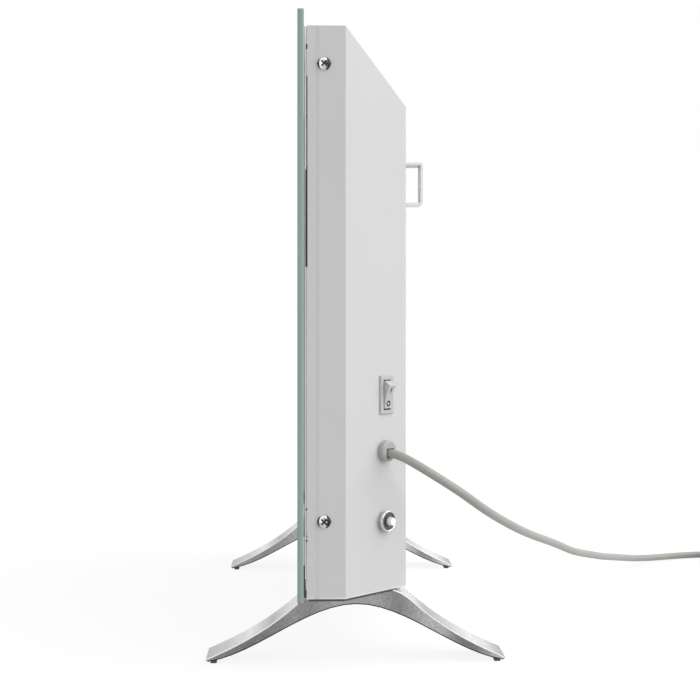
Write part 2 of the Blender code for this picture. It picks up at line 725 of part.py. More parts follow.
def seam_slot_stacks(inner_x, outer_x, front_y):
    """Return the cutters of the seam slots through the sheets between two widths, on both sides."""
    stacks = []
    for side in (-1, 1):
        edges = sorted((side * inner_x, side * outer_x))
        for middle, length in SEAM_SLOTS:
            low = (edges[0], front_y, FLOOR_Z + middle - length / 2)
            high = (edges[1], HOUSING_FRONT_Y + SEAM_SLOT_DEPTH, FLOOR_Z + middle + length / 2)
            stacks.append(box_loops(low, high))
    return stacks


def hanger_edges(side):
    """Return the near and far X of one hanger bracket."""
    return sorted((side * HANGER_INNER_EDGE, side * (HANGER_INNER_EDGE + HANGER_WIDTH)))


def rivet_places():
    """Return name, X and Z of each hanger rivet."""
    upper = HANGER_BOTTOM + HANGER_HEIGHT + HANGER_FLANGE / 2
    lower = HANGER_BOTTOM - HANGER_FLANGE / 2
    middle = HANGER_INNER_EDGE + HANGER_WIDTH / 2
    return [(side_name + "_" + name, side * middle, z)
            for side, side_name in ((-1, "left"), (1, "right"))
            for name, z in (("upper", upper), ("lower", lower))]


def bolt_places():
    """Return name, X and Y of each foot bolt."""
    return [(side_name + "_" + name, side * FOOT_CENTRE, end * BOLT_SPREAD / 2)
            for side, side_name in ((-1, "left"), (1, "right"))
            for end, name in ((-1, "front"), (1, "rear"))]


def make_housing(panel):
    """Make the folded rear housing with its bevelled sides and top, and cut its holes."""
    sheet = HOUSING_SHEET
    bend_shift = sheet * math.tan(SIDE_TURN / 2)
    side_shift = sheet * math.tan((math.pi / 2 - SIDE_TURN) / 2)
    top_shift = sheet * math.tan((math.pi / 2 - TOP_TURN) / 2)
    groove_y = HOUSING_FRONT_Y + GROOVE_SETBACK
    inner_top = TOP_Z - sheet
    loops = [
        wall_loop(BACK_HALF_WIDTH, FLOOR_Z, BACK_TOP_Z, BACK_Y),
        wall_loop(HALF_WIDTH, FLOOR_Z, TOP_Z, BEND_Y),
        wall_loop(HALF_WIDTH, FLOOR_Z, TOP_Z, groove_y + GROOVE_WIDTH / 2),
        wall_loop(HALF_WIDTH - GROOVE_DEPTH, FLOOR_Z, TOP_Z, groove_y),
        wall_loop(HALF_WIDTH, FLOOR_Z, TOP_Z, groove_y - GROOVE_WIDTH / 2),
        wall_loop(HALF_WIDTH, FLOOR_Z, TOP_Z, HOUSING_FRONT_Y),
        wall_loop(INNER_HALF_WIDTH, INNER_FLOOR_Z, inner_top, HOUSING_FRONT_Y),
        wall_loop(INNER_HALF_WIDTH, INNER_FLOOR_Z, inner_top, BEND_Y - bend_shift),
        wall_loop(BACK_HALF_WIDTH - side_shift, INNER_FLOOR_Z, BACK_TOP_Z - top_shift, BACK_Y - sheet),
    ]
    housing = solid("rear_housing", [loops], "painted_steel")
    cut(housing, solid("cutter_air_slots", air_slot_stacks(), "painted_steel"))
    wall_slots = seam_slot_stacks(*wall_edges(1), HOUSING_FRONT_Y - CUT_OVERRUN)
    cut(housing, solid("cutter_seam_slots", wall_slots, "painted_steel"))
    depth = sheet + CUT_OVERRUN
    screw_slots = []
    for side, _, z in screw_places():
        outline = slot_outline((SCREW_Y, z), 2 * SCREW_SLOT_REACH, SCREW_SLOT_HEIGHT)
        screw_slots.append(along_x(outline, *wall_edges(side)))
    cut(housing, solid("cutter_screw_slots", screw_slots, "painted_steel"))
    holes = []
    for _, x, z in rivet_places():
        matrix = turn_to((0, 1, 0), (x, BACK_Y - depth, z))
        radius = RIVET_RADIUS + GAP
        holes.append(turned_loops(((radius, 0), (radius, depth + CUT_OVERRUN)), SMALL_SIDES, matrix))
    for _, x, y in bolt_places():
        radius = BOLT_SHANK_RADIUS + GAP
        matrix = Matrix.Translation((x, y, FLOOR_Z - CUT_OVERRUN))
        holes.append(turned_loops(((radius, 0), (radius, depth + CUT_OVERRUN)), HOLE_SIDES, matrix))
    cut(housing, solid("cutter_round_holes", holes, "painted_steel"))
    panel_stacks = [
        [[point + Vector((SWITCH_OFFSET, SWITCH_Z, 0)) for point in loop] for loop in
         flat_loops(SWITCH_BODY_WIDTH / 2 + GAP, SWITCH_BODY_LENGTH / 2 + GAP, -depth, CUT_OVERRUN)],
        turned_loops(((GLAND_NECK_RADIUS + GAP, -depth), (GLAND_NECK_RADIUS + GAP, CUT_OVERRUN)), BUSH_SIDES,
                     Matrix.Translation((0, GLAND_Z, 0))),
        turned_loops(((NECK_RADIUS + GAP, -depth), (NECK_RADIUS + GAP, CUT_OVERRUN)), BUSH_SIDES,
                     Matrix.Translation((0, RESET_Z, 0))),
    ]
    cut(housing, solid("cutter_panel_holes", panel_stacks, "painted_steel", parent=panel))


def make_side_screws():
    """Make the four pan-head screws that hold the housing to the plate's flanges."""
    head = SCREW_HEAD_RADIUS
    height = SCREW_HEAD_HEIGHT
    profile = [(head * out_share, GAP + height * up_share) for out_share, up_share in SCREW_HEAD_SHARES]
    profile += [(SCREW_SHANK_RADIUS, GAP), (SCREW_SHANK_RADIUS, -SCREW_LENGTH)]
    for side, name, z in screw_places():
        turn = (0, side * math.pi / 2, 0)
        where = {"location": (side * HALF_WIDTH, SCREW_Y, z), "rotation": turn}
        loops = turned_loops(profile, TURNED_SIDES)
        screw = solid("side_screw_" + name, [loops], "chrome", smooth=ROUND, **where)
        top = GAP + height + CUT_OVERRUN
        bottom = GAP + height - CROSS_DEPTH
        first = flat_loops(CROSS_LENGTH / 2, CROSS_WIDTH / 2, bottom, top)
        second = flat_loops(CROSS_WIDTH / 2, CROSS_LENGTH / 2, bottom, top)
        spin = Matrix.Rotation(CROSS_ANGLE, 4, "Z")
        for index, loops in enumerate((first, second)):
            turned = [[spin @ point for point in loop] for loop in loops]
            cut(screw, solid("cutter_cross_%s_%d" % (name, index), [turned], "chrome", **where))


def bend_points(corner, start, end, radius):
    """Return points round a fold of a strap at a corner, between two unit directions."""
    centre = Vector(corner) + radius * (Vector(start) + Vector(end))
    return [tuple(centre - radius * (math.cos(math.pi / 2 * step / CORNER_STEPS) * Vector(end)
                                     + math.sin(math.pi / 2 * step / CORNER_STEPS) * Vector(start)))
            for step in range(CORNER_STEPS + 1)]


def make_hangers():
    """Make the two strap brackets on the back and the rivets that hold them."""
    base = BACK_Y + GAP
    outer_y = BACK_Y + HANGER_REACH
    low = HANGER_BOTTOM
    high = HANGER_BOTTOM + HANGER_HEIGHT
    strap = HANGER_STRAP
    outline = [(base, low - HANGER_FLANGE), (base + strap, low - HANGER_FLANGE), (base + strap, low)]
    outline += bend_points((outer_y, low), (-1, 0), (0, 1), HANGER_BEND_RADIUS)
    outline += bend_points((outer_y, high), (0, -1), (-1, 0), HANGER_BEND_RADIUS)
    outline += [(base + strap, high), (base + strap, high + HANGER_FLANGE), (base, high + HANGER_FLANGE),
                (base, high - strap), (outer_y - strap, high - strap), (outer_y - strap, low + strap),
                (base, low + strap)]
    for side, name in ((-1, "left"), (1, "right")):
        near, far = hanger_edges(side)
        hanger = solid("hanger_bracket_" + name, [along_x(outline, near, far)], "white_steel")
        middle = (near + far) / 2
        web = turn_to((0, 1, 0), (middle, outer_y - strap - CUT_OVERRUN, (low + high) / 2))
        span = strap + 2 * CUT_OVERRUN
        stacks = [turned_loops(((HANGER_HOLE_RADIUS, 0), (HANGER_HOLE_RADIUS, span)), BUSH_SIDES, web)]
        for rivet_name, x, z in rivet_places():
            if rivet_name.startswith(name):
                hole = turn_to((0, 1, 0), (x, base - CUT_OVERRUN, z))
                radius = RIVET_RADIUS + GAP
                stacks.append(turned_loops(((radius, 0), (radius, span)), SMALL_SIDES, hole))
        cut(hanger, solid("cutter_hanger_" + name, stacks, "white_steel"))
    seat = strap + 2 * GAP
    inner = -(HOUSING_SHEET + GAP)
    tail = inner - RIVET_HEAD_HEIGHT
    profile = ((RIVET_RADIUS + RIVET_HEAD_HEIGHT, tail), (RIVET_RADIUS + RIVET_HEAD_HEIGHT, inner),
               (RIVET_RADIUS, inner), (RIVET_RADIUS, seat), (RIVET_HEAD_RADIUS, seat),
               (RIVET_HEAD_RADIUS, seat + RIVET_HEAD_HEIGHT / 2), (RIVET_RADIUS, seat + RIVET_HEAD_HEIGHT))
    for name, x, z in rivet_places():
        loops = turned_loops(profile, SMALL_SIDES, turn_to((0, 1, 0), (x, BACK_Y, z)))
        solid("hanger_rivet_" + name, [loops], "zinc_steel", smooth=ROUND)


def cubic(start, end, slope_start, slope_end, position):
    """Return the height of a cubic curve between two points with given end slopes."""
    run = end[0] - start[0]
    share = (position - start[0]) / run
    square = share * share
    cube = square * share
    return ((2 * cube - 3 * square + 1) * start[1] + (cube - 2 * square + share) * run * slope_start
            + (3 * square - 2 * cube) * end[1] + (cube - square) * run * slope_end)


def cubic_points(start, end, slope_start, slope_end, steps):
    """Return points along such a curve, without its first."""
    run = end[0] - start[0]
    places = [start[0] + run * step / steps for step in range(1, steps + 1)]
    return [(place_y, cubic(start, end, slope_start, slope_end, place_y)) for place_y in places]


def foot_underside(y):
    """Return the height of the arch at one distance from the middle of the foot."""
    end = (FOOT_HALF_SPAN - FOOT_TOE_CUT, FOOT_TOE_UNDERSIDE)
    return cubic((0, FOOT_ARCH_HEIGHT), end, 0, FOOT_ARCH_END_SLOPE, abs(y))


def foot_outline():
    """Return the closed outline of the foot in Y and Z."""
    top = FOOT_HEIGHT - GAP
    shoulder = (FOOT_FLAT_HALF, top)
    leg = (FOOT_FLAT_HALF + FOOT_SHOULDER_RUN, top - FOOT_SHOULDER_DROP)
    toe = (FOOT_HALF_SPAN, FOOT_TOE_TOP)
    half = [shoulder]
    half += cubic_points(shoulder, leg, 0, FOOT_SHOULDER_SLOPE, FOOT_SHOULDER_STEPS)
    half += cubic_points(leg, toe, FOOT_SHOULDER_SLOPE, FOOT_TOE_SLOPE, FOOT_LEG_STEPS)
    reach = FOOT_HALF_SPAN - FOOT_TOE_CUT
    inward = [reach * (1 - step / FOOT_ARCH_STEPS) for step in range(FOOT_ARCH_STEPS)]
    half += [(y, foot_underside(y)) for y in inward]
    mirrored = [(-y, z) for y, z in reversed(half)]
    return half + [(0, FOOT_ARCH_HEIGHT)] + mirrored


def make_feet():
    """Make the two curved feet, their pads, bolts and the threaded plates inside the housing."""
    head_top = FOOT_HEIGHT - GAP - BOLT_SEAT_COVER
    socket = head_top - BOLT_HEAD_HEIGHT
    plate_bottom = INNER_FLOOR_Z + GAP
    plate_top = plate_bottom + NUT_PLATE_THICKNESS
    for side, name in ((-1, "left"), (1, "right")):
        near = side * FOOT_CENTRE - FOOT_WIDTH / 2
        far = near + FOOT_WIDTH
        foot = solid("foot_" + name, [along_x(foot_outline(), near, far)], "brushed_aluminium", smooth=ROUND)
        bevel(foot, FOOT_EDGE_BEVEL, FOOT_BEVEL_ANGLE)
        shanks = []
        seats = []
        for bolt_name, x, y in bolt_places():
            if bolt_name.startswith(name):
                matrix = Matrix.Translation((x, y, 0))
                radius = BOLT_SHANK_RADIUS + GAP
                wide = BOLT_HEAD_RADIUS + GAP
                high = plate_top + CUT_OVERRUN
                shanks.append(turned_loops(((radius, FOOT_TOE_TOP), (radius, high)), HOLE_SIDES, matrix))
                seats.append(turned_loops(((wide, FOOT_TOE_TOP), (wide, head_top + GAP)), BUSH_SIDES, matrix))
        shank_cutter = solid("cutter_foot_shanks_" + name, shanks, "brushed_aluminium")
        cut(foot, shank_cutter)
        cut(foot, solid("cutter_foot_seats_" + name, seats, "brushed_aluminium"))
        low = (side * FOOT_CENTRE - NUT_PLATE_WIDTH / 2, -NUT_PLATE_LENGTH / 2, plate_bottom)
        high = (side * FOOT_CENTRE + NUT_PLATE_WIDTH / 2, NUT_PLATE_LENGTH / 2, plate_top)
        cut(solid("foot_nut_plate_" + name, [box_loops(low, high)], "zinc_steel"), shank_cutter)
        for end, end_name in ((-1, "front"), (1, "rear")):
            outer = FOOT_HALF_SPAN - PAD_SETBACK
            inner = outer - PAD_LENGTH
            outline = [(end * inner, 0), (end * outer, 0), (end * outer, foot_underside(outer) - GAP),
                       (end * inner, foot_underside(inner) - GAP)]
            loops = along_x(outline, near + PAD_SIDE_INSET, far - PAD_SIDE_INSET)
            solid("foot_pad_%s_%s" % (name, end_name), [loops], "rubber")
    profile = ((BOLT_SOCKET_RADIUS, socket + BOLT_SOCKET_DEPTH), (BOLT_SOCKET_RADIUS, socket),
               (BOLT_HEAD_RADIUS - BOLT_SOCKET_DEPTH / 2, socket),
               (BOLT_HEAD_RADIUS, socket + BOLT_HEAD_HEIGHT / 2), (BOLT_HEAD_RADIUS, head_top),
               (BOLT_SHANK_RADIUS, head_top), (BOLT_SHANK_RADIUS, plate_top))
    for name, x, y in bolt_places():
        loops = turned_loops(profile, HOLE_SIDES, Matrix.Translation((x, y, 0)))
        solid("foot_bolt_" + name, [loops], "zinc_steel", smooth=ROUND)


def make_switch(panel):
    """Make the rocker switch: bezel and body, rocker at rest in its off position, and two tabs."""
    half_width = BEZEL_WIDTH / 2
    half_length = BEZEL_LENGTH / 2
    body_x = SWITCH_BODY_WIDTH / 2
    body_y = SWITCH_BODY_LENGTH / 2
    well_x = SWITCH_WELL_WIDTH / 2
    well_y = SWITCH_WELL_LENGTH / 2
    sizes = ((body_x, body_y, -SWITCH_BODY_DEPTH), (body_x, body_y, GAP), (half_width, half_length, GAP),
             (half_width, half_length, BEZEL_PROUD - BEZEL_CHAMFER),
             (half_width - BEZEL_CHAMFER, half_length - BEZEL_CHAMFER, BEZEL_PROUD),
             (well_x, well_y, BEZEL_PROUD), (well_x, well_y, -SWITCH_WELL_DEPTH))
    loops = [flat_loops(x, y, z, z)[0] for x, y, z in sizes]
    middle = (SWITCH_OFFSET, SWITCH_Z, 0)
    where = {"parent": panel, "location": middle}
    body = solid("switch_body", [loops], "grey_plastic", **where)
    reach = ROCKER_WIDTH / 2 + TRUNNION_LENGTH
    bearing = turn_to((1, 0, 0), (-reach - GAP, 0, 0))
    radius = TRUNNION_RADIUS + GAP
    hole = turned_loops(((radius, 0), (radius, 2 * (reach + GAP))), SMALL_SIDES, bearing)
    cut(body, solid("cutter_switch_bearing", [hole], "grey_plastic", **where))
    shares = [step / ROCKER_FACE_STEPS for step in range(ROCKER_FACE_STEPS + 1)]
    rise = ROCKER_CREST - ROCKER_VALLEY
    half = [(ROCKER_CREST_REACH * share, ROCKER_VALLEY + rise * share**2) for share in shares]
    half += [(ROCKER_END_REACH, -ROCKER_END_DROP), (ROCKER_FLOOR_REACH, -ROCKER_FLOOR_DROP)]
    outline = half + [(-y, z) for y, z in reversed(half[1:])]
    where["rotation"] = (ROCKER_TILT, 0, 0)
    loops = along_x(outline, -ROCKER_WIDTH / 2, ROCKER_WIDTH / 2)
    rocker = solid("switch_rocker", [loops], "light_plastic", **where)
    bevel(rocker, ROCKER_EDGE_BEVEL, ROCKER_BEVEL_ANGLE)
    trunnion = turned_loops(((TRUNNION_RADIUS, 0), (TRUNNION_RADIUS, 2 * reach)), SMALL_SIDES,
                            turn_to((1, 0, 0), (-reach, 0, 0)))
    join(rocker, solid("rocker_trunnion", [trunnion], "light_plastic", **where))
    slots = []
    for end, name in ((-1, "lower"), (1, "upper")):
        y = end * TAB_SPREAD / 2
        high = -SWITCH_BODY_DEPTH + TAB_EMBED
        centre = Vector((0, y, 0))
        tab = flat_loops(TAB_WIDTH / 2, TAB_THICKNESS / 2, -SWITCH_BODY_DEPTH - TAB_LENGTH, high)
        solid("switch_tab_" + name, [[[point + centre for point in loop] for loop in tab]], "brass",
              parent=panel, location=middle)
        low = -SWITCH_BODY_DEPTH - CUT_OVERRUN
        slot = flat_loops(TAB_WIDTH / 2 + GAP, TAB_THICKNESS / 2 + GAP, low, high + GAP)
        slots.append([[point + centre for point in loop] for loop in slot])
    cut(body, solid("cutter_switch_tabs", slots, "grey_plastic", parent=panel, location=middle))


def make_breaker(panel):
    """Make the overload breaker with its nuts and its reset button."""
    where = {"parent": panel, "location": (0, RESET_Z, 0)}
    seat = -(HOUSING_SHEET + GAP)
    loops = flat_loops(BREAKER_WIDTH / 2, BREAKER_LENGTH / 2, seat - BREAKER_DEPTH, seat)
    body = solid("breaker_body", [loops], "black_plastic", **where)
    neck_profile = ((NECK_RADIUS, seat - CUT_OVERRUN), (NECK_RADIUS, NECK_PROUD),
                    (COLLAR_RADIUS, NECK_PROUD), (COLLAR_RADIUS, COLLAR_PROUD))
    join(body, solid("breaker_neck", [turned_loops(neck_profile, TURNED_SIDES)], "black_plastic", **where))
    button_bottom = BUTTON_PROUD - BUTTON_LENGTH
    bore = BUTTON_RADIUS + GAP
    bore_bottom = button_bottom - BUTTON_TRAVEL - GAP
    cutter = turned_loops(((bore, bore_bottom), (bore, COLLAR_PROUD + CUT_OVERRUN)), TURNED_SIDES)
    cut(body, solid("cutter_button_bore", [cutter], "black_plastic", **where))
    inner = NECK_RADIUS + GAP
    corner = HEX_FLATS / 2 / math.cos(math.pi / 6)
    hex_top = GAP + HEX_THICKNESS
    outer = turned_loops(((corner, GAP), (corner, hex_top)), 6)
    nut = solid("breaker_hex_nut", [outer], "zinc_steel", **where)
    through = turned_loops(((inner, GAP - CUT_OVERRUN), (inner, hex_top + CUT_OVERRUN)), TURNED_SIDES)
    cut(nut, solid("cutter_nut_bore", [through], "zinc_steel", **where))
    low = hex_top + GAP
    high = low + RING_HEIGHT
    recess = RING_RADIUS - RING_WALL
    profile = ((inner, low), (RING_RADIUS - RING_CHAMFER, low), (RING_RADIUS, low + RING_CHAMFER),
               (RING_RADIUS, high - RING_CHAMFER), (RING_RADIUS - RING_CHAMFER, high),
               (recess + RING_CHAMFER, high), (recess, high - RING_CHAMFER), (recess, low + RING_FLOOR),
               (inner, low + RING_FLOOR))
    solid("breaker_ring_nut", [turned_loops(profile, RING_SIDES)], "chrome", ring=True, smooth=ROUND, **where)
    dome = BUTTON_PROUD - BUTTON_DOME
    button = [(BUTTON_RADIUS, button_bottom)]
    for inward, up in BUTTON_EDGE_SHARES:
        button.append((BUTTON_RADIUS - BUTTON_DOME * inward, dome + BUTTON_DOME * up))
    solid("reset_button", [turned_loops(button, TURNED_SIDES)], "white_plastic", smooth=ROUND, **where)


def make_gland(panel):
    """Make the strain-relief bush that grips the mains lead in the side chamfer."""
    where = {"parent": panel, "location": (0, GLAND_Z, 0)}
    seat = -(HOUSING_SHEET + GAP)
    barb = seat - GLAND_BARB_LENGTH
    edge = GLAND_BASE_RADIUS - GLAND_TIP_RADIUS
    profile = [(GLAND_TAIL_RADIUS, -GLAND_TAIL_LENGTH), (GLAND_NECK_RADIUS, barb - GLAND_BARB_LENGTH),
               (GLAND_BARB_RADIUS, barb), (GLAND_BARB_RADIUS, seat), (GLAND_NECK_RADIUS, seat),
               (GLAND_NECK_RADIUS, GAP), (GLAND_BASE_RADIUS, GAP)]
    for inward, down in GLAND_EDGE_SHARES:
        profile.append((GLAND_BASE_RADIUS - edge * inward, GLAND_PROUD - edge * down))
    gland = solid("cord_gland", [turned_loops(profile, GLAND_SIDES)], "grey_plastic", smooth=ROUND, **where)
    half = GLAND_MOUTH_WIDTH / 2
    mouth = flat_loops(half, half, GLAND_PROUD - GLAND_MOUTH_DEPTH, GLAND_PROUD + CUT_OVERRUN)
    lower = {"parent": panel, "location": (0, GLAND_Z - GLAND_MOUTH_DROP, 0)}
    cut(gland, solid("cutter_gland_mouth", [mouth], "grey_plastic", **lower))


def fin_outline():
    """Return the section of the finned heater body in Y and Z."""
    points = []
    half_angle = math.asin(ELEMENT_FIN_THICKNESS / 2 / ELEMENT_CORE_RADIUS)
    for index in range(ELEMENT_FINS):
        angle = math.tau * (index + 0.5) / ELEMENT_FINS
        direction = Vector((math.cos(angle), math.sin(angle)))
        side = Vector((-direction.y, direction.x)) * ELEMENT_FIN_THICKNESS / 2
        reach = 1 / math.hypot(direction.x / ELEMENT_FIN_REACH, direction.y / ELEMENT_FIN_HEIGHT)
        root = ELEMENT_CORE_RADIUS * math.cos(half_angle)
        for offset, length in ((-1, root), (-1, reach), (1, reach), (1, root)):
            point = direction * length + side * offset
            points.append((ELEMENT_Y + point.x, ELEMENT_Z + point.y))
    return points


def make_element():
    """Make the finned heating element, its rod, bushes and end brackets."""
    half = ELEMENT_HALF_LENGTH
    fins = solid("element_fins", [along_x(fin_outline(), -half, half)], "bare_aluminium")
    centre = (-half - CUT_OVERRUN, ELEMENT_Y, ELEMENT_Z)
    radius = ELEMENT_BORE_RADIUS
    profile = ((radius, 0), (radius, 2 * (half + CUT_OVERRUN)))
    bore = turned_loops(profile, HOLE_SIDES, turn_to((1, 0, 0), centre))
    cut(fins, solid("cutter_element_bore", [bore], "bare_aluminium"))
    reach = half + ROD_PROUD
    rod = turned_loops(((ROD_RADIUS, -reach), (ROD_RADIUS, reach)), HOLE_SIDES,
                       turn_to((1, 0, 0), (0, ELEMENT_Y, ELEMENT_Z)))
    solid("element_rod", [rod], "zinc_steel", smooth=ROUND)
    near = half + BRACKET_SETBACK
    far = near + BRACKET_SHEET
    flange_end = near - GAP
    inner = ROD_RADIUS + GAP
    flange_start = flange_end - BUSH_FLANGE_THICKNESS
    bush_end = flange_end + BUSH_LENGTH
    profile = ((inner, flange_start), (BUSH_FLANGE_RADIUS, flange_start), (BUSH_FLANGE_RADIUS, flange_end),
               (BUSH_RADIUS, flange_end), (BUSH_RADIUS, bush_end), (inner, bush_end))
    bottom = INNER_FLOOR_Z + GAP
    for side, name in ((-1, "left"), (1, "right")):
        matrix = turn_to((side, 0, 0), (0, ELEMENT_Y, ELEMENT_Z))
        loops = turned_loops(profile, BUSH_SIDES, matrix)
        solid("element_bush_" + name, [loops], "ceramic", ring=True, smooth=ROUND)
        outline = [(near - BRACKET_FOOT, bottom), (far, bottom), (far, ELEMENT_Z + BRACKET_RISE),
                   (near, ELEMENT_Z + BRACKET_RISE), (near, bottom + BRACKET_SHEET),
                   (near - BRACKET_FOOT, bottom + BRACKET_SHEET)]
        ends = (ELEMENT_Y - BRACKET_HALF_DEPTH, ELEMENT_Y + BRACKET_HALF_DEPTH)
        loops = [[Vector((side * x, y, z)) for x, z in outline] for y in ends]
        bracket = solid("element_bracket_" + name, [loops], "zinc_steel")
        radius = BUSH_RADIUS + GAP
        hole = turned_loops(((radius, near - CUT_OVERRUN), (radius, far + CUT_OVERRUN)), BUSH_SIDES, matrix)
        cut(bracket, solid("cutter_bracket_" + name, [hole], "zinc_steel"))


def make_deflector():
    """Make the sheet that keeps the hot air off the glass, and the cut-out that watches it."""
    front = PLATE_BACK_Y + GAP
    back = front + DEFLECTOR_STANDOFF
    half = ELEMENT_HALF_LENGTH - DEFLECTOR_END_INSET
    sheet = DEFLECTOR_SHEET
    outline = [(-half, front), (-half + sheet, front), (-half + sheet, back - sheet),
               (half - sheet, back - sheet), (half - sheet, front), (half, front), (half, back), (-half, back)]
    loops = along_z(outline, DEFLECTOR_BOTTOM, DEFLECTOR_BOTTOM + DEFLECTOR_HEIGHT)
    solid("air_deflector", [loops], "bare_aluminium")
    profile = ((CUTOUT_FLANGE_RADIUS, 0), (CUTOUT_FLANGE_RADIUS, CUTOUT_FLANGE_THICKNESS),
               (CUTOUT_RADIUS, CUTOUT_FLANGE_THICKNESS), (CUTOUT_RADIUS, CUTOUT_HEIGHT))
    loops = turned_loops(profile, BUSH_SIDES, turn_to((0, 1, 0), (0, back + GAP, CUTOUT_Z)))
    solid("overheat_cutout", [loops], "black_plastic", smooth=ROUND)


def block_corners():
    """Return the low and high corner of the terminal block."""
    far = FLANGE_OUTER - PLATE_SHEET - BLOCK_WALL_CLEAR
    low = (far - BLOCK_WIDTH, PLATE_BACK_Y + BLOCK_FRONT_CLEAR, INNER_FLOOR_Z + GAP)
    return low, (far, low[1] + BLOCK_DEPTH, low[2] + BLOCK_HEIGHT)


def make_electrics():
    """Make the terminal block, the tip-over switch and the control board in its tray."""
    block = solid("terminal_block", [box_loops(*block_corners())], "ceramic")
    bevel(block, BOX_BEVEL, FOOT_BEVEL_ANGLE)
    far = FLANGE_OUTER - PLATE_SHEET - BLOCK_WALL_CLEAR
    low = (-far, PLATE_BACK_Y + BLOCK_FRONT_CLEAR, INNER_FLOOR_Z + GAP)
    high = (low[0] + TIP_SWITCH_WIDTH, low[1] + TIP_SWITCH_DEPTH, low[2] + TIP_SWITCH_HEIGHT)
    bevel(solid("tip_over_switch", [box_loops(low, high)], "black_plastic"), BOX_BEVEL, FOOT_BEVEL_ANGLE)
    right = FLANGE_OUTER - PLATE_SHEET - TRAY_SIDE_CLEAR
    front = PLATE_BACK_Y + GAP
    half_x = TRAY_WIDTH / 2
    half_z = TRAY_HEIGHT / 2
    middle = Vector((right - half_x, 0, TRAY_BOTTOM + half_z))
    sizes = ((half_x, half_z, front), (half_x, half_z, front + TRAY_DEPTH),
             (half_x - TRAY_WALL, half_z - TRAY_WALL, front + TRAY_DEPTH),
             (half_x - TRAY_WALL, half_z - TRAY_WALL, front + TRAY_WALL))
    loops = [[middle + point for point in wall_loop(x, -z, z, y)] for x, z, y in sizes]
    solid("control_tray", [loops], "black_plastic")
    board_x = half_x - TRAY_WALL - GAP
    board_z = half_z - TRAY_WALL - GAP
    board_y = front + TRAY_WALL + GAP
    board_back = board_y + BOARD_THICKNESS
    part_x = BOARD_PART_WIDTH / 2
    part_z = BOARD_PART_LENGTH / 2
    sizes = ((board_x, board_z, board_y), (board_x, board_z, board_back), (part_x, part_z, board_back),
             (part_x, part_z, board_back + BOARD_PART_HEIGHT))
    loops = [[middle + point for point in wall_loop(x, -z, z, y)] for x, z, y in sizes]
    solid("control_board", [loops], "circuit_board")


def make_inner_leads(panel_matrix):
    """Make the leads inside the housing, each between two named pieces."""
    low, high = block_corners()
    down = Vector((0, 0, -1))
    straight = INNER_LEAD_STRAIGHT

    def on_block(x_share, y_share):
        x = low[0] + (high[0] - low[0]) * x_share
        y = low[1] + (high[1] - low[1]) * y_share
        return Vector((x, y, high[2] + GAP))

    inward = panel_matrix.to_3x3() @ Vector((0, 0, -1))
    start = panel_matrix @ Vector((0, GLAND_Z, -GLAND_TAIL_LENGTH - GAP))
    end = on_block(LEAD_REAR_SHARE, LEAD_REAR_SHARE)
    middle = [Vector((start.x + end.x, start.y + end.y, start.z + end.z)) / 2]
    points = lead_line(start, inward, middle, end, down, straight, LEAD_POINT_SPACING)
    tube("lead_mains_inner", points, INNER_LEAD_RADIUS, "cord_grey", 2)
    tab_end = -SWITCH_BODY_DEPTH - TAB_LENGTH
    start = panel_matrix @ Vector((SWITCH_OFFSET, SWITCH_Z - TAB_SPREAD / 2, tab_end - GAP))
    end = on_block(LEAD_REAR_SHARE, LEAD_FRONT_SHARE)
    middle = [Vector((end.x, end.y, (start.z + end.z) / 2))]
    points = lead_line(start, inward, middle, end, down, straight, LEAD_POINT_SPACING)
    tube("lead_switch", points, LEAD_RADIUS, "black_plastic", 2)
    start = Vector((ELEMENT_HALF_LENGTH + ROD_PROUD + GAP, ELEMENT_Y, ELEMENT_Z))
    end = on_block(LEAD_FRONT_SHARE, LEAD_MIDDLE_SHARE)
    points = lead_line(start, Vector((1, 0, 0)), [], end, down, straight, LEAD_POINT_SPACING)
    tube("lead_element", points, LEAD_RADIUS, "white_plastic", 2)


def coil_points():
    """Return the centre line of the coiled lead, a spiral in on the floor and out again on top."""
    centre = Vector((COIL_START_X + COIL_OUTER_RADIUS, COIL_START_Y + 2 * CORD_RADIUS))
    total = math.tau * COIL_TURNS
    steps = round(COIL_LOOP_POINTS * COIL_TURNS)
    points = [Vector((COIL_START_X, COIL_START_Y, COIL_BOTTOM_Z))]
    for step in range(steps + 1):
        turned = total * step / steps
        inward = min(turned, total - turned)
        radius = COIL_OUTER_RADIUS - COIL_TURN_PITCH * inward / math.tau
        climbed = min(1.0, max(0.0, (turned - total / 2) / math.pi + 0.5))
        lift = COIL_TURN_PITCH * (3 * climbed**2 - 2 * climbed**3)
        angle = math.pi - turned
        points.append(Vector((centre.x + radius * math.cos(angle), centre.y + radius * math.sin(angle),
                              COIL_BOTTOM_Z + lift)))
    last = points[-1]
    angle = math.pi - total
    heading = Vector((math.sin(angle), -math.cos(angle), 0))
    points.append(last + heading * 2 * CORD_RADIUS)
    return points, heading


def least_gap(points):
    """Return the least clear distance between turns of the lead that aren't next to each other."""
    line = np.array([tuple(point) for point in points])
    along = np.concatenate(([0.0], np.cumsum(np.linalg.norm(np.diff(line, axis=0), axis=1))))
    apart = np.linalg.norm(line[:, None, :] - line[None, :, :], axis=2)
    far = np.abs(along[:, None] - along[None, :]) > NEAR_ALONG_RADII * CORD_RADIUS
    return apart[far].min() - 2 * CORD_RADIUS


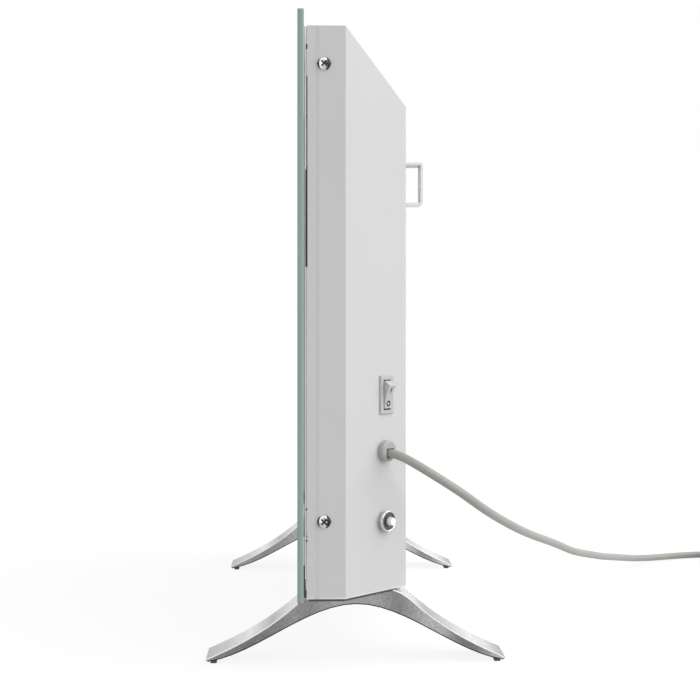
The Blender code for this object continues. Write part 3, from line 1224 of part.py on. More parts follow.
def make_cord(panel_matrix):
    """Make the mains lead: the free stretch, the coil with its tie, the tail and the plug."""
    mouth = GLAND_PROUD - GLAND_MOUTH_DEPTH + GAP
    out = panel_matrix.to_3x3() @ Vector((0, 0, 1))
    start = panel_matrix @ Vector((0, GLAND_Z - GLAND_MOUTH_DROP, mouth))
    end = Vector((COIL_START_X, COIL_START_Y - GAP, COIL_BOTTOM_Z))
    middle = [Vector(point) for point in CORD_ROUTE]
    route = lead_line(start, out, middle, end, Vector((0, 1, 0)), CORD_STRAIGHT, CORD_POINT_SPACING)
    tube("cord_free", route, CORD_RADIUS, "cord_grey", 2)
    coil, heading = coil_points()
    tube("cord_coil", coil, CORD_RADIUS, "cord_grey", 1)
    print("least gap between turns, mm:", round(least_gap(coil) * 1000, 2))
    tail_start = coil[-1] + heading * GAP
    plug_rear = Vector((tail_start.x + PLUG_TAIL_RUN, tail_start.y, PLUG_RADIUS))
    tail_end = plug_rear - heading * GAP
    route = lead_line(tail_start, heading, [], tail_end, heading, CORD_STRAIGHT, CORD_POINT_SPACING)
    tube("cord_tail", route, CORD_RADIUS, "cord_grey", 2)
    make_tie()
    make_plug(plug_rear, heading)


def make_tie():
    """Make the strap that holds the coil together."""
    centre = Vector((COIL_START_X + COIL_OUTER_RADIUS, COIL_START_Y + 2 * CORD_RADIUS, 0))
    inner_turn = COIL_OUTER_RADIUS - COIL_TURN_PITCH * COIL_TURNS / 2
    low = inner_turn - CORD_RADIUS - TIE_SLACK
    high = COIL_OUTER_RADIUS + CORD_RADIUS + TIE_SLACK
    top = COIL_BOTTOM_Z + COIL_TURN_PITCH + CORD_RADIUS + GAP
    inner = ((low, TIE_THICKNESS), (high, TIE_THICKNESS), (high, top), (low, top))
    outer = ((low - TIE_THICKNESS, 0), (high + TIE_THICKNESS, 0),
             (high + TIE_THICKNESS, top + TIE_THICKNESS), (low - TIE_THICKNESS, top + TIE_THICKNESS))
    half = TIE_WIDTH / 2
    loops = [[centre + Vector((radius, y, z)) for radius, z in outline]
             for outline, y in ((outer, -half), (outer, half), (inner, half), (inner, -half))]
    solid("cord_tie", [loops], "black_plastic", ring=True)


def make_plug(rear, heading):
    """Make the moulded mains plug and its two pins."""
    taper = PLUG_TAPER_LENGTH
    edge = PLUG_EDGE_RADIUS
    front = taper + PLUG_BODY_LENGTH
    profile = ((PLUG_TAIL_RADIUS, 0), (PLUG_NECK_RADIUS, taper - edge), (PLUG_RADIUS - edge, taper),
               (PLUG_RADIUS, taper + edge), (PLUG_RADIUS, front - edge / 2), (PLUG_RADIUS - edge / 2, front))
    matrix = turn_to(heading, rear)
    body = solid("plug_body", [turned_loops(profile, GLAND_SIDES, matrix)], "cord_grey", smooth=ROUND)
    bores = []
    across = heading.cross(Vector((0, 0, 1)))
    for side, name in ((-1, "left"), (1, "right")):
        place_pin = turn_to(heading, rear + across * side * PIN_SPREAD / 2)
        pin = ((PIN_RADIUS, front - PIN_EMBED), (PIN_RADIUS, front + PIN_LENGTH - PIN_TIP),
               (PIN_RADIUS - PIN_TIP, front + PIN_LENGTH))
        solid("plug_pin_" + name, [turned_loops(pin, HOLE_SIDES, place_pin)], "chrome", smooth=ROUND)
        radius = PIN_RADIUS + GAP
        bore = ((radius, front - PIN_EMBED - GAP), (radius, front + CUT_OVERRUN))
        bores.append(turned_loops(bore, HOLE_SIDES, place_pin))
    cut(body, solid("cutter_plug_bores", bores, "cord_grey"))


def main():
    """Build the whole heater."""
    clear_scene()
    panel, panel_matrix = make_panel_frame()
    make_glass()
    make_front_plate()
    make_housing(panel)
    make_side_screws()
    make_hangers()
    make_feet()
    make_switch(panel)
    make_breaker(panel)
    make_gland(panel)
    make_element()
    make_deflector()
    make_electrics()
    make_inner_leads(panel_matrix)
    make_cord(panel_matrix)


main()
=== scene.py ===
"""Looks of the glass-front convector heater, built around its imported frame.

Metres, +Z up, in the frame's own coordinates: the glass faces -Y and the controls are on +X.
"""
import json
import math

import bmesh
import bpy
import numpy as np
from mathutils import Matrix, Vector
from mathutils.bvhtree import BVHTree


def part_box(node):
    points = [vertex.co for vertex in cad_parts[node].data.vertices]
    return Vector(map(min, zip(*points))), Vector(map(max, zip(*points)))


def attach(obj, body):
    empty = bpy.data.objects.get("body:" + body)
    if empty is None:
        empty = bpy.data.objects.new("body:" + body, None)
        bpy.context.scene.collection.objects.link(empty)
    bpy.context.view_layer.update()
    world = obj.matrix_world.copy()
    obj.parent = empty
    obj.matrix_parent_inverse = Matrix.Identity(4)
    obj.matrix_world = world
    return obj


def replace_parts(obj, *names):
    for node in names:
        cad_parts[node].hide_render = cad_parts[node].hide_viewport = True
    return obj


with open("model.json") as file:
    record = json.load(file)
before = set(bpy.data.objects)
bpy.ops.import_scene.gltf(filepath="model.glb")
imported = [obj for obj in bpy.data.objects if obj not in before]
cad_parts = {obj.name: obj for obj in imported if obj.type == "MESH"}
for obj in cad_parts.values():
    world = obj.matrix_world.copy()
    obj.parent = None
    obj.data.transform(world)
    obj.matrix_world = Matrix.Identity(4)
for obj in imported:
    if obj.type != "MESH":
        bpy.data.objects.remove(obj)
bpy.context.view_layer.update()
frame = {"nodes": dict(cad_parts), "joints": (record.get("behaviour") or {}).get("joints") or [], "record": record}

# The body that each solid rides on, its material slot, and the places of a piece's further finishes
BODY_OF = {node: body for body, nodes in frame["record"]["behaviour"]["bodies"].items() for node in nodes}
SLOT_OF = {part["node"]: part["material_slot"] for part in frame["record"]["subparts"]}
SECOND_FINISH = 1
THIRD_FINISH = 2

# The photograph: its size, where lines along X meet, and the eye's place
PHOTO_PIXELS = 700
FOCAL_PIXELS = 1443
AXIS_PIXEL_X = 302
AXIS_PIXEL_Y = 306
EYE = Vector((1.395, -0.04375, 0.289))
SENSOR_MM = 36.0
CLIP_START = 0.01
CLIP_END = 100

# The mains lead, as the solids have it
CORD_RADIUS = 0.0035
CORD_STRAIGHT = 0.003
CORD_SPACING = 0.004
CORD_ROUNDNESS = 6
COIL_MEAN_RADIUS = 0.0355
COIL_TURNS = 3.25
COIL_PITCH = 0.0075
COIL_POINTS_PER_TURN = 72
CORD_ROUTE = (
    (0.2500, 0.0350, 0.1694),
    (0.2585, 0.0455, 0.1644),
    (0.2635, 0.0566, 0.1580),
    (0.2640, 0.0691, 0.1502),
    (0.2585, 0.0822, 0.1413),
    (0.2465, 0.0963, 0.1305),
    (0.2250, 0.1119, 0.1189),
    (0.1940, 0.1293, 0.1066),
    (0.1540, 0.1488, 0.0937),
    (0.1070, 0.1704, 0.0806),
    (0.0560, 0.1937, 0.0668),
    (0.0030, 0.2186, 0.0515),
    (-0.0500, 0.2446, 0.0390),
    (-0.1010, 0.2700, 0.0278),
    (-0.1480, 0.2950, 0.0185),
    (-0.1850, 0.3200, 0.0110),
    (-0.2170, 0.3500, 0.0058),
    (-0.2380, 0.3880, 0.0044),
)
COIL_START = Vector((-0.2455, 0.4470, 0.0044))

# Where the lead leaves its gland, and how much further back on the panel the switch sits than the gland
GLAND_MOUTH = 0.0043
GLAND_MOUTH_DROP = 0.0018
SWITCH_OFFSET = 0.0017

# What counts as one flat face, a rounded corner and a hard corner
MERGE_DISTANCE = 1e-6
FLAT_ANGLE = math.radians(0.6)
ROUND_ANGLE = math.radians(35)
SHARP_ANGLE = math.radians(50)

# Shares of a normal from which a face looks up, down, or along one axis
FACES_AXIS = 0.9
FACES_UP = 0.5
FACES_DOWN = -0.3

# Roundings that the faceted solids leave out
ROUND_PROFILE = 0.5
FINE_SEGMENTS = 3
NORMAL_WEIGHT = 100
SHEET_EDGE = 0.00012
SWITCH_EDGE = 0.0003
PLUG_EDGE = 0.0004
SMALL_PIECES = {"hanger_rivet": 0.0002, "foot_bolt": 0.0002, "foot_pad": 0.0003, "glass_clip": 0.0001,
                "breaker_hex_nut": 0.0003, "breaker_body": 0.0003, "reset_button": 0.0002,
                "cord_gland": 0.00025, "switch_rocker": 0.00012}
FINISH_OF = {"cord_gland": "gland_plastic"}

# Folds of the housing's sheet: the least angle, length and width of face, and the radius
FOLD_ANGLE = math.radians(15)
FOLD_LENGTH = 0.012
FOLD_FACE = 0.002
FOLD_RADIUS = 0.0008
LOW_FOLD_REACH = 0.0005
LOW_FOLD_FACE = 0.0015
LOW_FOLD_RADIUS = 0.0014

# The shallow groove in the side walls, whose faces get a painted darker shade: where it lies along Y, and how deep
# it is below them
GROOVE_FRONT = -0.0345
GROOVE_REAR = -0.0300
GROOVE_DEPTH = 0.00025
GROOVE_RIM = 0.00002

# Roundings of the feet, and the shortest lower edge that is rounded
FOOT_CORNER = 0.0004
FOOT_UNDERSIDE = 0.0006
UNDERSIDE_LENGTH = 0.002

# Dark strips under the housing as painted shade of the gap above the feet, and where its side walls turn into the
# bevels
SHADE_STRIP_INSET = 0.0015
SHADE_STRIP_THICKNESS = 0.0008
SHADE_STRIP_DEPTH = 0.0019
SHADE_STRIP_HOLD = 0.0003
SHADE_STRIP_FRONT = 0.002
SHADE_STRIP_FOOT_GAP = 0.0006
SHADE_STRIP_EDGE = 0.0002
PANEL_FOLD_Y = -0.00965
EIGHTH_TURN_TANGENT = 0.4142
DIAGONAL = 1.4142

# Dark strips over the seam behind the front plate and beside the glass, painted shade of those gaps: lows and
# highs along Y and Z
SEAM_SHADE_STRIPS = (
    (-0.04105, -0.03990, 0.3198, 0.3954),
    (-0.04080, -0.03975, 0.4892, 0.4930),
    (-0.04090, -0.03965, 0.1297, 0.1312),
    (-0.04085, -0.03970, 0.1052, 0.1067),
    (-0.04235, -0.04145, 0.0612, 0.0864),
    (-0.04140, -0.04015, 0.0612, 0.0678),
)
SEAM_SHADE_DEPTH = 0.0008
SEAM_SHADE_PROUD = 0.00005
SEAM_SHADE_EDGE = 0.00005

# Domed screw heads with their cross recess, whose deeper faces are painted near-black as shade
SCREW_RINGS = 36
SCREW_SPOKES = 64
DOME_POWER = 2.2
CROSS_HALF_WIDTH = 0.00055
CROSS_REACH = 0.0030
CROSS_DEPTH = 0.0013
CROSS_DARK_SHARE = 0.4
CROSS_REACH_SHARE = 1.05

# The reset button's ring, its floor and the collar, as pairs of radius and height over the ring's foot
RING_SPOKES = 64
RING_HALF = 0.00125
RING_PROFILE = ((0.0080, 0.0), (0.00855, 0.0003), (0.00875, 0.0009), (0.00875, 0.0016), (0.00855, 0.0022),
                (0.0082, 0.0026), (0.00785, 0.0027), (0.0075, 0.0026), (0.0072, 0.0023), (0.0071, 0.0016),
                (0.0071, 0.0))
RECESS_PROFILE = ((0.0072, 0.0014), (0.0066, 0.0013), (0.0060, 0.0016), (0.0053, 0.0018), (0.0046, 0.0016),
                  (0.0036, 0.0018), (0.0036, 0.0010), (0.0072, 0.0010))
COLLAR_PROFILE = ((0.0038, 0.0014), (0.0038, 0.0038), (0.00372, 0.0041), (0.00355, 0.0042),
                  (0.00336, 0.0041), (0.00333, 0.0014))

# Marks of the rocker, measured from its pivot along the rocker, and how far out rays to its face start
OFF_MARK_BELOW = 0.0070
OFF_MARK_RADIUS = 0.0018
OFF_MARK_STROKE = 0.00062
OFF_MARK_STEPS = 32
ON_MARK_ABOVE = 0.0039
ON_MARK_HALF_LENGTH = 0.00195
ON_MARK_HALF_WIDTH = 0.00055
ON_MARK_STEPS = 4
MARK_PROUD = 0.00004
CAST_FROM = 0.03

# Where most values of a noise lie, and its detail in the patches and in the relief of the plain finishes
NOISE_LOW = 0.25
NOISE_HIGH = 0.75
PATCH_DETAIL = 4.0
RELIEF_DETAIL = 2.0

# Plain finishes: colour, its variation, patch size, roughness, its spread, relief as size and depth, metal
FINISHES = {
    "painted_steel": ((0.602, 0.596, 0.602), 0.012, 0.09, 0.42, 0.05,
                      ((0.0009, 0.00003), (0.0035, 0.00004)), 0.0),
    "white_steel": ((0.86, 0.86, 0.86), 0.015, 0.08, 0.35, 0.05, ((0.0008, 0.00002), (0.004, 0.00003)), 0.0),
    # Painted highlight for the housing's lower folds
    "fold_highlight": ((0.86, 0.855, 0.86), 0.012, 0.05, 0.42, 0.05, ((0.0009, 0.00002),), 0.0),
    # Painted darker shade for the groove's faces
    "painted_groove_shade": ((0.556, 0.551, 0.556), 0.012, 0.09, 0.42, 0.05, ((0.0009, 0.00003),), 0.0),
    "bare_aluminium": ((0.70, 0.70, 0.70), 0.06, 0.01, 0.42, 0.08, ((0.0006, 0.00002),), 1.0),
    "chrome": ((0.72, 0.72, 0.73), 0.03, 0.003, 0.10, 0.04, ((0.0015, 0.000004),), 1.0),
    "zinc_steel": ((0.58, 0.58, 0.56), 0.08, 0.004, 0.36, 0.08, ((0.0006, 0.00001),), 1.0),
    "tan_steel": ((0.42, 0.37, 0.29), 0.12, 0.003, 0.42, 0.08, ((0.0005, 0.00001),), 0.6),
    "grey_plastic": ((0.480, 0.489, 0.462), 0.02, 0.01, 0.42, 0.06, ((0.00035, 0.00001),), 0.0),
    "light_plastic": ((0.52, 0.525, 0.515), 0.02, 0.01, 0.32, 0.05, ((0.0004, 0.000006),), 0.0),
    "black_plastic": ((0.035, 0.035, 0.036), 0.15, 0.01, 0.45, 0.08, ((0.0004, 0.00001),), 0.0),
    "white_plastic": ((0.97, 0.97, 0.97), 0.015, 0.006, 0.25, 0.05, ((0.0006, 0.000004),), 0.0),
    "ceramic": ((0.78, 0.75, 0.68), 0.05, 0.006, 0.65, 0.08, ((0.0004, 0.00003),), 0.0),
    # Painted shade: near-black for the strips that stand in for the gap under the housing
    "shade_strip_black": ((0.085, 0.085, 0.085), 0.2, 0.006, 0.8, 0.08, ((0.0005, 0.00002),), 0.0),
    "rubber": ((0.11, 0.11, 0.11), 0.2, 0.008, 0.75, 0.08, ((0.0005, 0.00003),), 0.0),
    "tape": ((0.33, 0.33, 0.335), 0.06, 0.004, 0.85, 0.05, ((0.0006, 0.00006),), 0.0),
    "brass": ((0.72, 0.55, 0.27), 0.08, 0.003, 0.30, 0.08, ((0.0006, 0.00001),), 1.0),
    "gland_plastic": ((0.402, 0.405, 0.385), 0.02, 0.01, 0.40, 0.06, ((0.00035, 0.00001),), 0.0),
    "mark_ink": ((0.014, 0.014, 0.014), 0.12, 0.0008, 0.55, 0.08, ((0.0002, 0.000003),), 0.0),
    "recess_grey": ((0.13, 0.13, 0.13), 0.45, 0.0012, 0.5, 0.1, ((0.0009, 0.00008),), 0.4),
    # Painted shade: near-black for the deep faces of the screws' cross recess
    "screw_recess_shade": ((0.02, 0.02, 0.02), 0.3, 0.001, 0.6, 0.08, ((0.0004, 0.00001),), 0.0),
    "cord_grey": ((0.352, 0.348, 0.326), 0.03, 0.02, 0.42, 0.06, ((0.0006, 0.000015), (0.004, 0.00002)), 0.0),
    "glass_enamel": ((0.62, 0.64, 0.63), 0.02, 0.03, 0.38, 0.06, ((0.0007, 0.00001),), 0.0),
}

# Patterned finishes: noise and range of their roughness, noise and depth of their relief, plain sockets
BRUSHED = {"gloss": (0.0008,), "roughness": (0.26, 0.38), "relief": (0.0004, 2.0, (1, 0.05, 0.5)),
           "depth": 0.00002, "Metallic": 1.0, "Anisotropic": 0.4}
CORNER_HIGHLIGHT_FINISH = {"gloss": (0.0008,), "roughness": (0.36, 0.48), "relief": (0.0004, 2.0), "depth": 0.00001,
                "Metallic": 1.0}
SCREW_CHROME = {"gloss": (0.001,), "roughness": (0.06, 0.14), "relief": (0.0012, 2.0), "depth": 0.000004,
                "Metallic": 1.0}
GLASS_FACE = {"gloss": (0.03, 5.0), "roughness": (0.02, 0.06), "relief": (0.05, 1.0), "depth": 0.00002,
              "IOR": 1.52, "Coat_Weight": 0.6, "Coat_Roughness": 0.02}
GLASS_EDGE = {"gloss": (0.0006,), "roughness": (0.35, 0.5), "relief": (0.0005, 2.0), "depth": 0.00001,
              "IOR": 1.52}
BOARD = {"gloss": (0.004,), "roughness": (0.35, 0.5)}

# Painted sheen of the feet, reflection and highlight bands in their colour: places along Y and the tone there, on
# flanks, upper faces and rounded corners
BAND_REACH = 0.122
SIDE_SHEEN = ((-0.120, 0.36), (-0.085, 0.31), (-0.064, 0.37), (-0.052, 0.47), (-0.038, 0.40),
              (-0.015, 0.60), (0.015, 0.58), (0.035, 0.38), (0.058, 0.76), (0.070, 0.68), (0.086, 0.32),
              (0.098, 0.34), (0.120, 0.80))
TOP_SHEEN = ((-0.120, 0.42), (-0.103, 0.53), (-0.086, 0.74), (-0.068, 0.37), (-0.052, 0.67), (0.046, 0.78),
             (0.058, 0.40), (0.075, 0.58), (0.095, 0.84), (0.106, 0.78), (0.119, 0.42))
CORNER_HIGHLIGHT_BANDS = ((0.0, 0.88), (0.03, 0.88), (0.045, 0.66), (0.122, 0.66))
BAND_BLUE_SHARE = 0.99

# Grain of the feet, the bounds of their upper faces and lower chamfers, the painted shade on those chamfers, and
# the wear of their corners
GRAIN = (0.0011, 4.0, (1, 0.6, 1))
GRAIN_RANGE = (0.72, 1.28)
BLOTCHES = (0.005, 3.0, (1, 0.6, 1))
BLOTCH_RANGE = (0.95, 1.05)
TOP_ABOVE = 0.4
CHAMFER_BELOW = -0.12
CHAMFER_BESIDE = 0.25
CHAMFER_SHADE = 0.92
WEAR_SIZE = 0.004
WEAR_RANGE = (0.0, 0.1)
WEAR_COLOUR = (0.5, 0.5, 0.5, 1.0)

# Screw heads: painted dark reflections on the flanks, as fades of the normal's Y and the tones at their ends,
# towards the glass and the rear
SCREW_FRONT_PAINTED_DARK = (-0.58, -0.42, 0.06, 0.93)
SCREW_REAR_PAINTED_DARK = (0.12, 0.30, 1.0, 0.05)
SCRATCH_SIZE = 0.0015
SCRATCH_RANGE = (0.92, 1.0)

# Tints of the glass, and the streaked greens of its edge from front to back, with a paler band near the back as a
# painted highlight of the rear arris
CLOUD_SIZE = 0.2
GLASS_TINTS = ((0.76, 0.80, 0.79, 1.0), (0.79, 0.82, 0.81, 1.0))
EDGE_GREENS_AND_HIGHLIGHT = ((0.0, (0.235, 0.31, 0.29)), (0.55, (0.25, 0.335, 0.32)), (0.78, (0.32, 0.41, 0.385)),
               (0.9, (0.27, 0.34, 0.32)), (1.0, (0.15, 0.185, 0.175)))
STREAKS = (0.004, 4.0, (1, 1, 0.05))
STREAK_RANGE = (0.0, 0.35)
STREAK_COLOUR = (0.33, 0.42, 0.395, 1.0)

# Tracks of the control board
TRACK_SCALE = 220.0
TRACK_COLOURS = {"Color1": (0.02, 0.16, 0.06, 1.0), "Color2": (0.03, 0.22, 0.09, 1.0),
                 "Mortar": (0.10, 0.36, 0.16, 1.0)}

# The room: its light, and where and how its far side is darker in reflections
AMBIENT = 0.685
DARK_SIDE = Vector((0.7071, 0.7071, 0.0))
DARK_FADE = {"From Min": 0.35, "From Max": 0.90, "To Min": 1.0, "To Max": 0.12}

# The floor: its size and surface, its glow in reflections, its dimming along X and where beside Y it ends
FLOOR_REACH = 30.0
FLOOR_COLOUR = (0.6, 0.6, 0.6, 1.0)
FLOOR_ROUGHNESS = 0.9
FLOOR_GLOW = 1.15
FLOOR_GLOW_SHARE = 0.75
DIM_FADE = (0.232, 0.250, 1.0, 0.50)
DIM_ASIDE_FADE = (0.28, 0.40)

# The key light
KEY_FROM = Vector((0.30, 0.72, 0.62))
KEY_STRENGTH = 2.12
KEY_SPREAD = math.radians(75)


def joint(name):
    """Return one joint of the frame."""
    return next(entry for entry in frame["joints"] if entry["name"] == name)


def centre_of(node):
    """Return the middle of a node's box."""
    low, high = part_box(node)
    return (low + high) / 2


# The control panel's own axes: rear along the bevel, up, and out of the sheet
ROCKER_PIVOT = Vector(joint("rocker_tilt")["pos_m"])
PANEL_REAR = -Vector(joint("rocker_tilt")["axis"]).normalized()
PANEL_UP = Vector((0, 0, 1))
PANEL_OUT = PANEL_REAR.cross(PANEL_UP)
PANEL_TURN = Matrix((PANEL_REAR, PANEL_UP, PANEL_OUT)).transposed()


def on_panel(height, out):
    """Return a place on the gland's line of the control panel, at one height and one distance out of it."""
    place = Vector((ROCKER_PIVOT.x, ROCKER_PIVOT.y, height))
    return place + PANEL_OUT * out - PANEL_REAR * SWITCH_OFFSET


def add_piece(name, data, body="heater"):
    """Add an object that rides on a body."""
    piece = bpy.data.objects.new(name, data)
    bpy.context.scene.collection.objects.link(piece)
    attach(piece, body)
    return piece


class Nodes:
    """A material's node tree, with short calls to add and join nodes."""

    def __init__(self, name):
        self.material = bpy.data.materials.new(name)
        self.material.use_nodes = True
        self.tree = self.material.node_tree
        self.shader = self.tree.nodes["Principled BSDF"]
        self.place = self.tree.nodes.new("ShaderNodeTexCoord").outputs["Object"]

    def add(self, kind, **inputs):
        """Add a node; each input is a value, or a socket to link."""
        node = self.tree.nodes.new(kind)
        for key, value in inputs.items():
            self.put(node.inputs[key.replace("_", " ")], value)
        return node

    def put(self, socket, value):
        """Set or link one input."""
        if isinstance(value, bpy.types.NodeSocket):
            self.tree.links.new(value, socket)
        else:
            socket.default_value = value

    def split(self, vector):
        """Return the three parts of a vector."""
        return self.add("ShaderNodeSeparateXYZ", Vector=vector).outputs

    def facing(self):
        """Return the three parts of the surface's normal."""
        return self.split(self.add("ShaderNodeNewGeometry").outputs["Normal"])

    def noise(self, size, detail=3.0, stretch=None):
        """Return noise of one grain size in metres."""
        place = self.place
        if stretch:
            place = self.add("ShaderNodeMapping", Vector=place, Scale=stretch).outputs["Vector"]
        return self.add("ShaderNodeTexNoise", Vector=place, Scale=1.0 / size, Detail=detail).outputs["Fac"]

    def follow(self, value, start, end, low=0.0, high=1.0):
        """Return a value that goes from low to high while another goes from start to end."""
        node = self.add("ShaderNodeMapRange", Value=value, From_Min=start, From_Max=end, To_Min=low,
                        To_Max=high)
        return node.outputs["Result"]

    def between(self, noise, low=0.0, high=1.0):
        """Return a value that follows a noise from low to high."""
        return self.follow(noise, NOISE_LOW, NOISE_HIGH, low, high)

    def blend(self, factor, first, second):
        """Return a colour between two."""
        node = self.tree.nodes.new("ShaderNodeMix")
        node.data_type = "RGBA"
        self.put(node.inputs["Factor"], factor)
        self.put(node.inputs["A"], first)
        self.put(node.inputs["B"], second)
        return node.outputs["Result"]

    def math(self, operation, first, second=0.0):
        """Return the result of one sum on two values."""
        node = self.tree.nodes.new("ShaderNodeMath")
        node.operation = operation
        self.put(node.inputs[0], first)
        self.put(node.inputs[1], second)
        return node.outputs[0]

    def ramp(self, factor, stops):
        """Return a colour that follows a factor through pairs of place and colour."""
        node = self.add("ShaderNodeValToRGB", Fac=factor)
        steps = node.color_ramp.elements
        steps.remove(steps[1])
        steps[0].position = stops[0][0]
        steps[0].color = colour(stops[0][1])
        for place, shade in stops[1:]:
            steps.new(place).color = colour(shade)
        return node.outputs["Color"]

    def bump(self, height, depth, before=None):
        """Return a normal bumped by a height of one depth in metres."""
        node = self.add("ShaderNodeBump", Height=height, Distance=depth)
        if before:
            self.put(node.inputs["Normal"], before)
        return node.outputs["Normal"]

    def finish(self, base, gloss, roughness, relief=None, depth=0.0, **sockets):
        """Set the colour, the varying roughness, the relief and the plain sockets of the shader."""
        self.put(self.shader.inputs["Base Color"], base)
        self.put(self.shader.inputs["Roughness"], self.between(self.noise(*gloss), *roughness))
        if relief:
            self.put(self.shader.inputs["Normal"], self.bump(self.noise(*relief), depth))
        for key, value in sockets.items():
            self.put(self.shader.inputs[key.replace("_", " ")], value)
        return self.material


def colour(values, scale=1.0):
    """Return a colour of four channels."""
    return (*(min(1.0, channel * scale) for channel in values), 1.0)


def bare_metal(tone):
    """Return the grey of bare aluminium at one tone."""
    return tone, tone, tone * BAND_BLUE_SHARE


def surface(name, base, variation, patch, roughness, spread, relief, metallic):
    """Make a material whose colour, roughness and relief vary over the surface."""
    nodes = Nodes(name)
    patches = nodes.between(nodes.noise(patch, PATCH_DETAIL))
    mixed = nodes.blend(patches, colour(base, 1 - variation), colour(base, 1 + variation))
    nodes.finish(mixed, (relief[0][0],), (roughness - spread, roughness + spread))
    normal = None
    for size, depth in relief:
        normal = nodes.bump(nodes.noise(size, RELIEF_DETAIL), depth, normal)
    nodes.put(nodes.shader.inputs["Normal"], normal)
    nodes.put(nodes.shader.inputs["Metallic"], metallic)
    return nodes.material


def make_brushed():
    """Make brushed aluminium with painted reflection bands along its curved length, lighter on upper faces than on
    flanks, and painted shade on its lower chamfers.
    """
    nodes = Nodes("brushed_aluminium")
    along = nodes.follow(nodes.split(nodes.place)["Y"], -BAND_REACH, BAND_REACH)
    sheen_tones = []
    for bands in (SIDE_SHEEN, TOP_SHEEN):
        stops = [((place / BAND_REACH + 1) / 2, bare_metal(tone)) for place, tone in bands]
        sheen_tones.append(nodes.ramp(along, stops))
    facing = nodes.facing()
    # Upper faces take the lighter bands and flanks the darker ones: painted sheen
    painted_sheen = nodes.blend(nodes.math("GREATER_THAN", facing["Z"], TOP_ABOVE), *sheen_tones)
    grain = nodes.between(nodes.noise(*GRAIN), *GRAIN_RANGE)
    blotches = nodes.between(nodes.noise(*BLOTCHES), *BLOTCH_RANGE)
    # Lower chamfers on the flanks are darkened: painted shade
    below = nodes.math("LESS_THAN", facing["Z"], CHAMFER_BELOW)
    beside = nodes.math("GREATER_THAN", nodes.math("ABSOLUTE", facing["X"]), CHAMFER_BESIDE)
    painted_chamfer_shade = nodes.math("MULTIPLY", nodes.math("MULTIPLY", below, beside), CHAMFER_SHADE)
    left = nodes.math("MULTIPLY", blotches, nodes.math("SUBTRACT", 1.0, painted_chamfer_shade))
    shade = nodes.tree.nodes.new("ShaderNodeVectorMath")
    shade.operation = "SCALE"
    nodes.put(shade.inputs[0], painted_sheen)
    nodes.put(shade.inputs["Scale"], nodes.math("MULTIPLY", grain, left))
    return nodes.finish(shade.outputs[0], **BRUSHED)


def make_foot_corner_highlight():
    """Make the painted highlight on the rounded corners of the feet, dimmer on their rear legs, with some wear."""
    nodes = Nodes("foot_corner_highlight")
    along = nodes.math("DIVIDE", nodes.split(nodes.place)["Y"], BAND_REACH)
    # Painted highlight tone along Y, dimmer towards the rear legs
    tone = nodes.ramp(along, [(place / BAND_REACH, bare_metal(tone)) for place, tone in CORNER_HIGHLIGHT_BANDS])
    highlight_and_wear = nodes.blend(nodes.between(nodes.noise(WEAR_SIZE), *WEAR_RANGE), tone, WEAR_COLOUR)
    return nodes.finish(highlight_and_wear, **CORNER_HIGHLIGHT_FINISH)


def make_screw_chrome():
    """Make bright chrome with painted dark reflections on the flanks turned to the glass and to the rear."""
    nodes = Nodes("screw_chrome")
    facing = nodes.facing()
    scratches = nodes.between(nodes.noise(SCRATCH_SIZE), *SCRATCH_RANGE)
    # Flanks turned to the glass and to the rear go dark: painted reflection
    tone = nodes.math("MULTIPLY", nodes.follow(facing["Y"], *SCREW_FRONT_PAINTED_DARK), scratches)
    tone = nodes.math("MULTIPLY", tone, nodes.follow(facing["Y"], *SCREW_REAR_PAINTED_DARK))
    return nodes.finish(tone, **SCREW_CHROME)


def make_glass_face():
    """Make the smooth face of clear glass over a white enamelled back."""
    nodes = Nodes("glass")
    tint = nodes.blend(nodes.between(nodes.noise(CLOUD_SIZE)), *GLASS_TINTS)
    return nodes.finish(tint, **GLASS_FACE)


def make_glass_edge():
    """Make the ground edge, green inside the glass, with a paler band near its back as a painted highlight, and
    darker at its very back.
    """
    nodes = Nodes("glass_edge")
    low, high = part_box("glass_panel")
    depth = nodes.follow(nodes.split(nodes.place)["Y"], low.y, high.y)
    streaks = nodes.between(nodes.noise(*STREAKS), *STREAK_RANGE)
    mixed = nodes.blend(streaks, nodes.ramp(depth, EDGE_GREENS_AND_HIGHLIGHT), STREAK_COLOUR)
    return nodes.finish(mixed, **GLASS_EDGE)


def make_board_material():
    """Make a green board with paler tracks."""
    nodes = Nodes("circuit_board")
    tracks = nodes.add("ShaderNodeTexBrick", Vector=nodes.place, Scale=TRACK_SCALE, **TRACK_COLOURS)
    return nodes.finish(tracks.outputs["Color"], **BOARD)


def make_materials():
    """Make every finish."""
    made = {name: surface(name, *values) for name, values in FINISHES.items()}
    made["brushed_aluminium"] = make_brushed()
    made["foot_corner_highlight"] = make_foot_corner_highlight()
    made["screw_chrome"] = make_screw_chrome()
    made["glass"] = make_glass_face()
    made["glass_edge"] = make_glass_edge()
    made["circuit_board"] = make_board_material()
    return made


materials = make_materials()


def dress_frame():
    """Give every solid of the frame its finish."""
    for node, thing in frame["nodes"].items():
        thing.data.materials.clear()
        thing.data.materials.append(materials[SLOT_OF[node]])


def clean_copy(node):
    """Return a copy of a solid's mesh with its flat stretches joined into single faces."""
    mesh = frame["nodes"][node].data.copy()
    bm = bmesh.new()
    bm.from_mesh(mesh)
    bmesh.ops.remove_doubles(bm, verts=bm.verts, dist=MERGE_DISTANCE)
    bmesh.ops.dissolve_limit(bm, angle_limit=FLAT_ANGLE, verts=bm.verts, edges=bm.edges)
    bmesh.ops.recalc_face_normals(bm, faces=bm.faces)
    return bm, mesh


def fill_mesh(bm, mesh, finishes):
    """Move a working mesh into a mesh with its finishes."""
    mesh.materials.clear()
    for finish in finishes:
        mesh.materials.append(materials[finish])
    bm.to_mesh(mesh)
    bm.free()
    return mesh


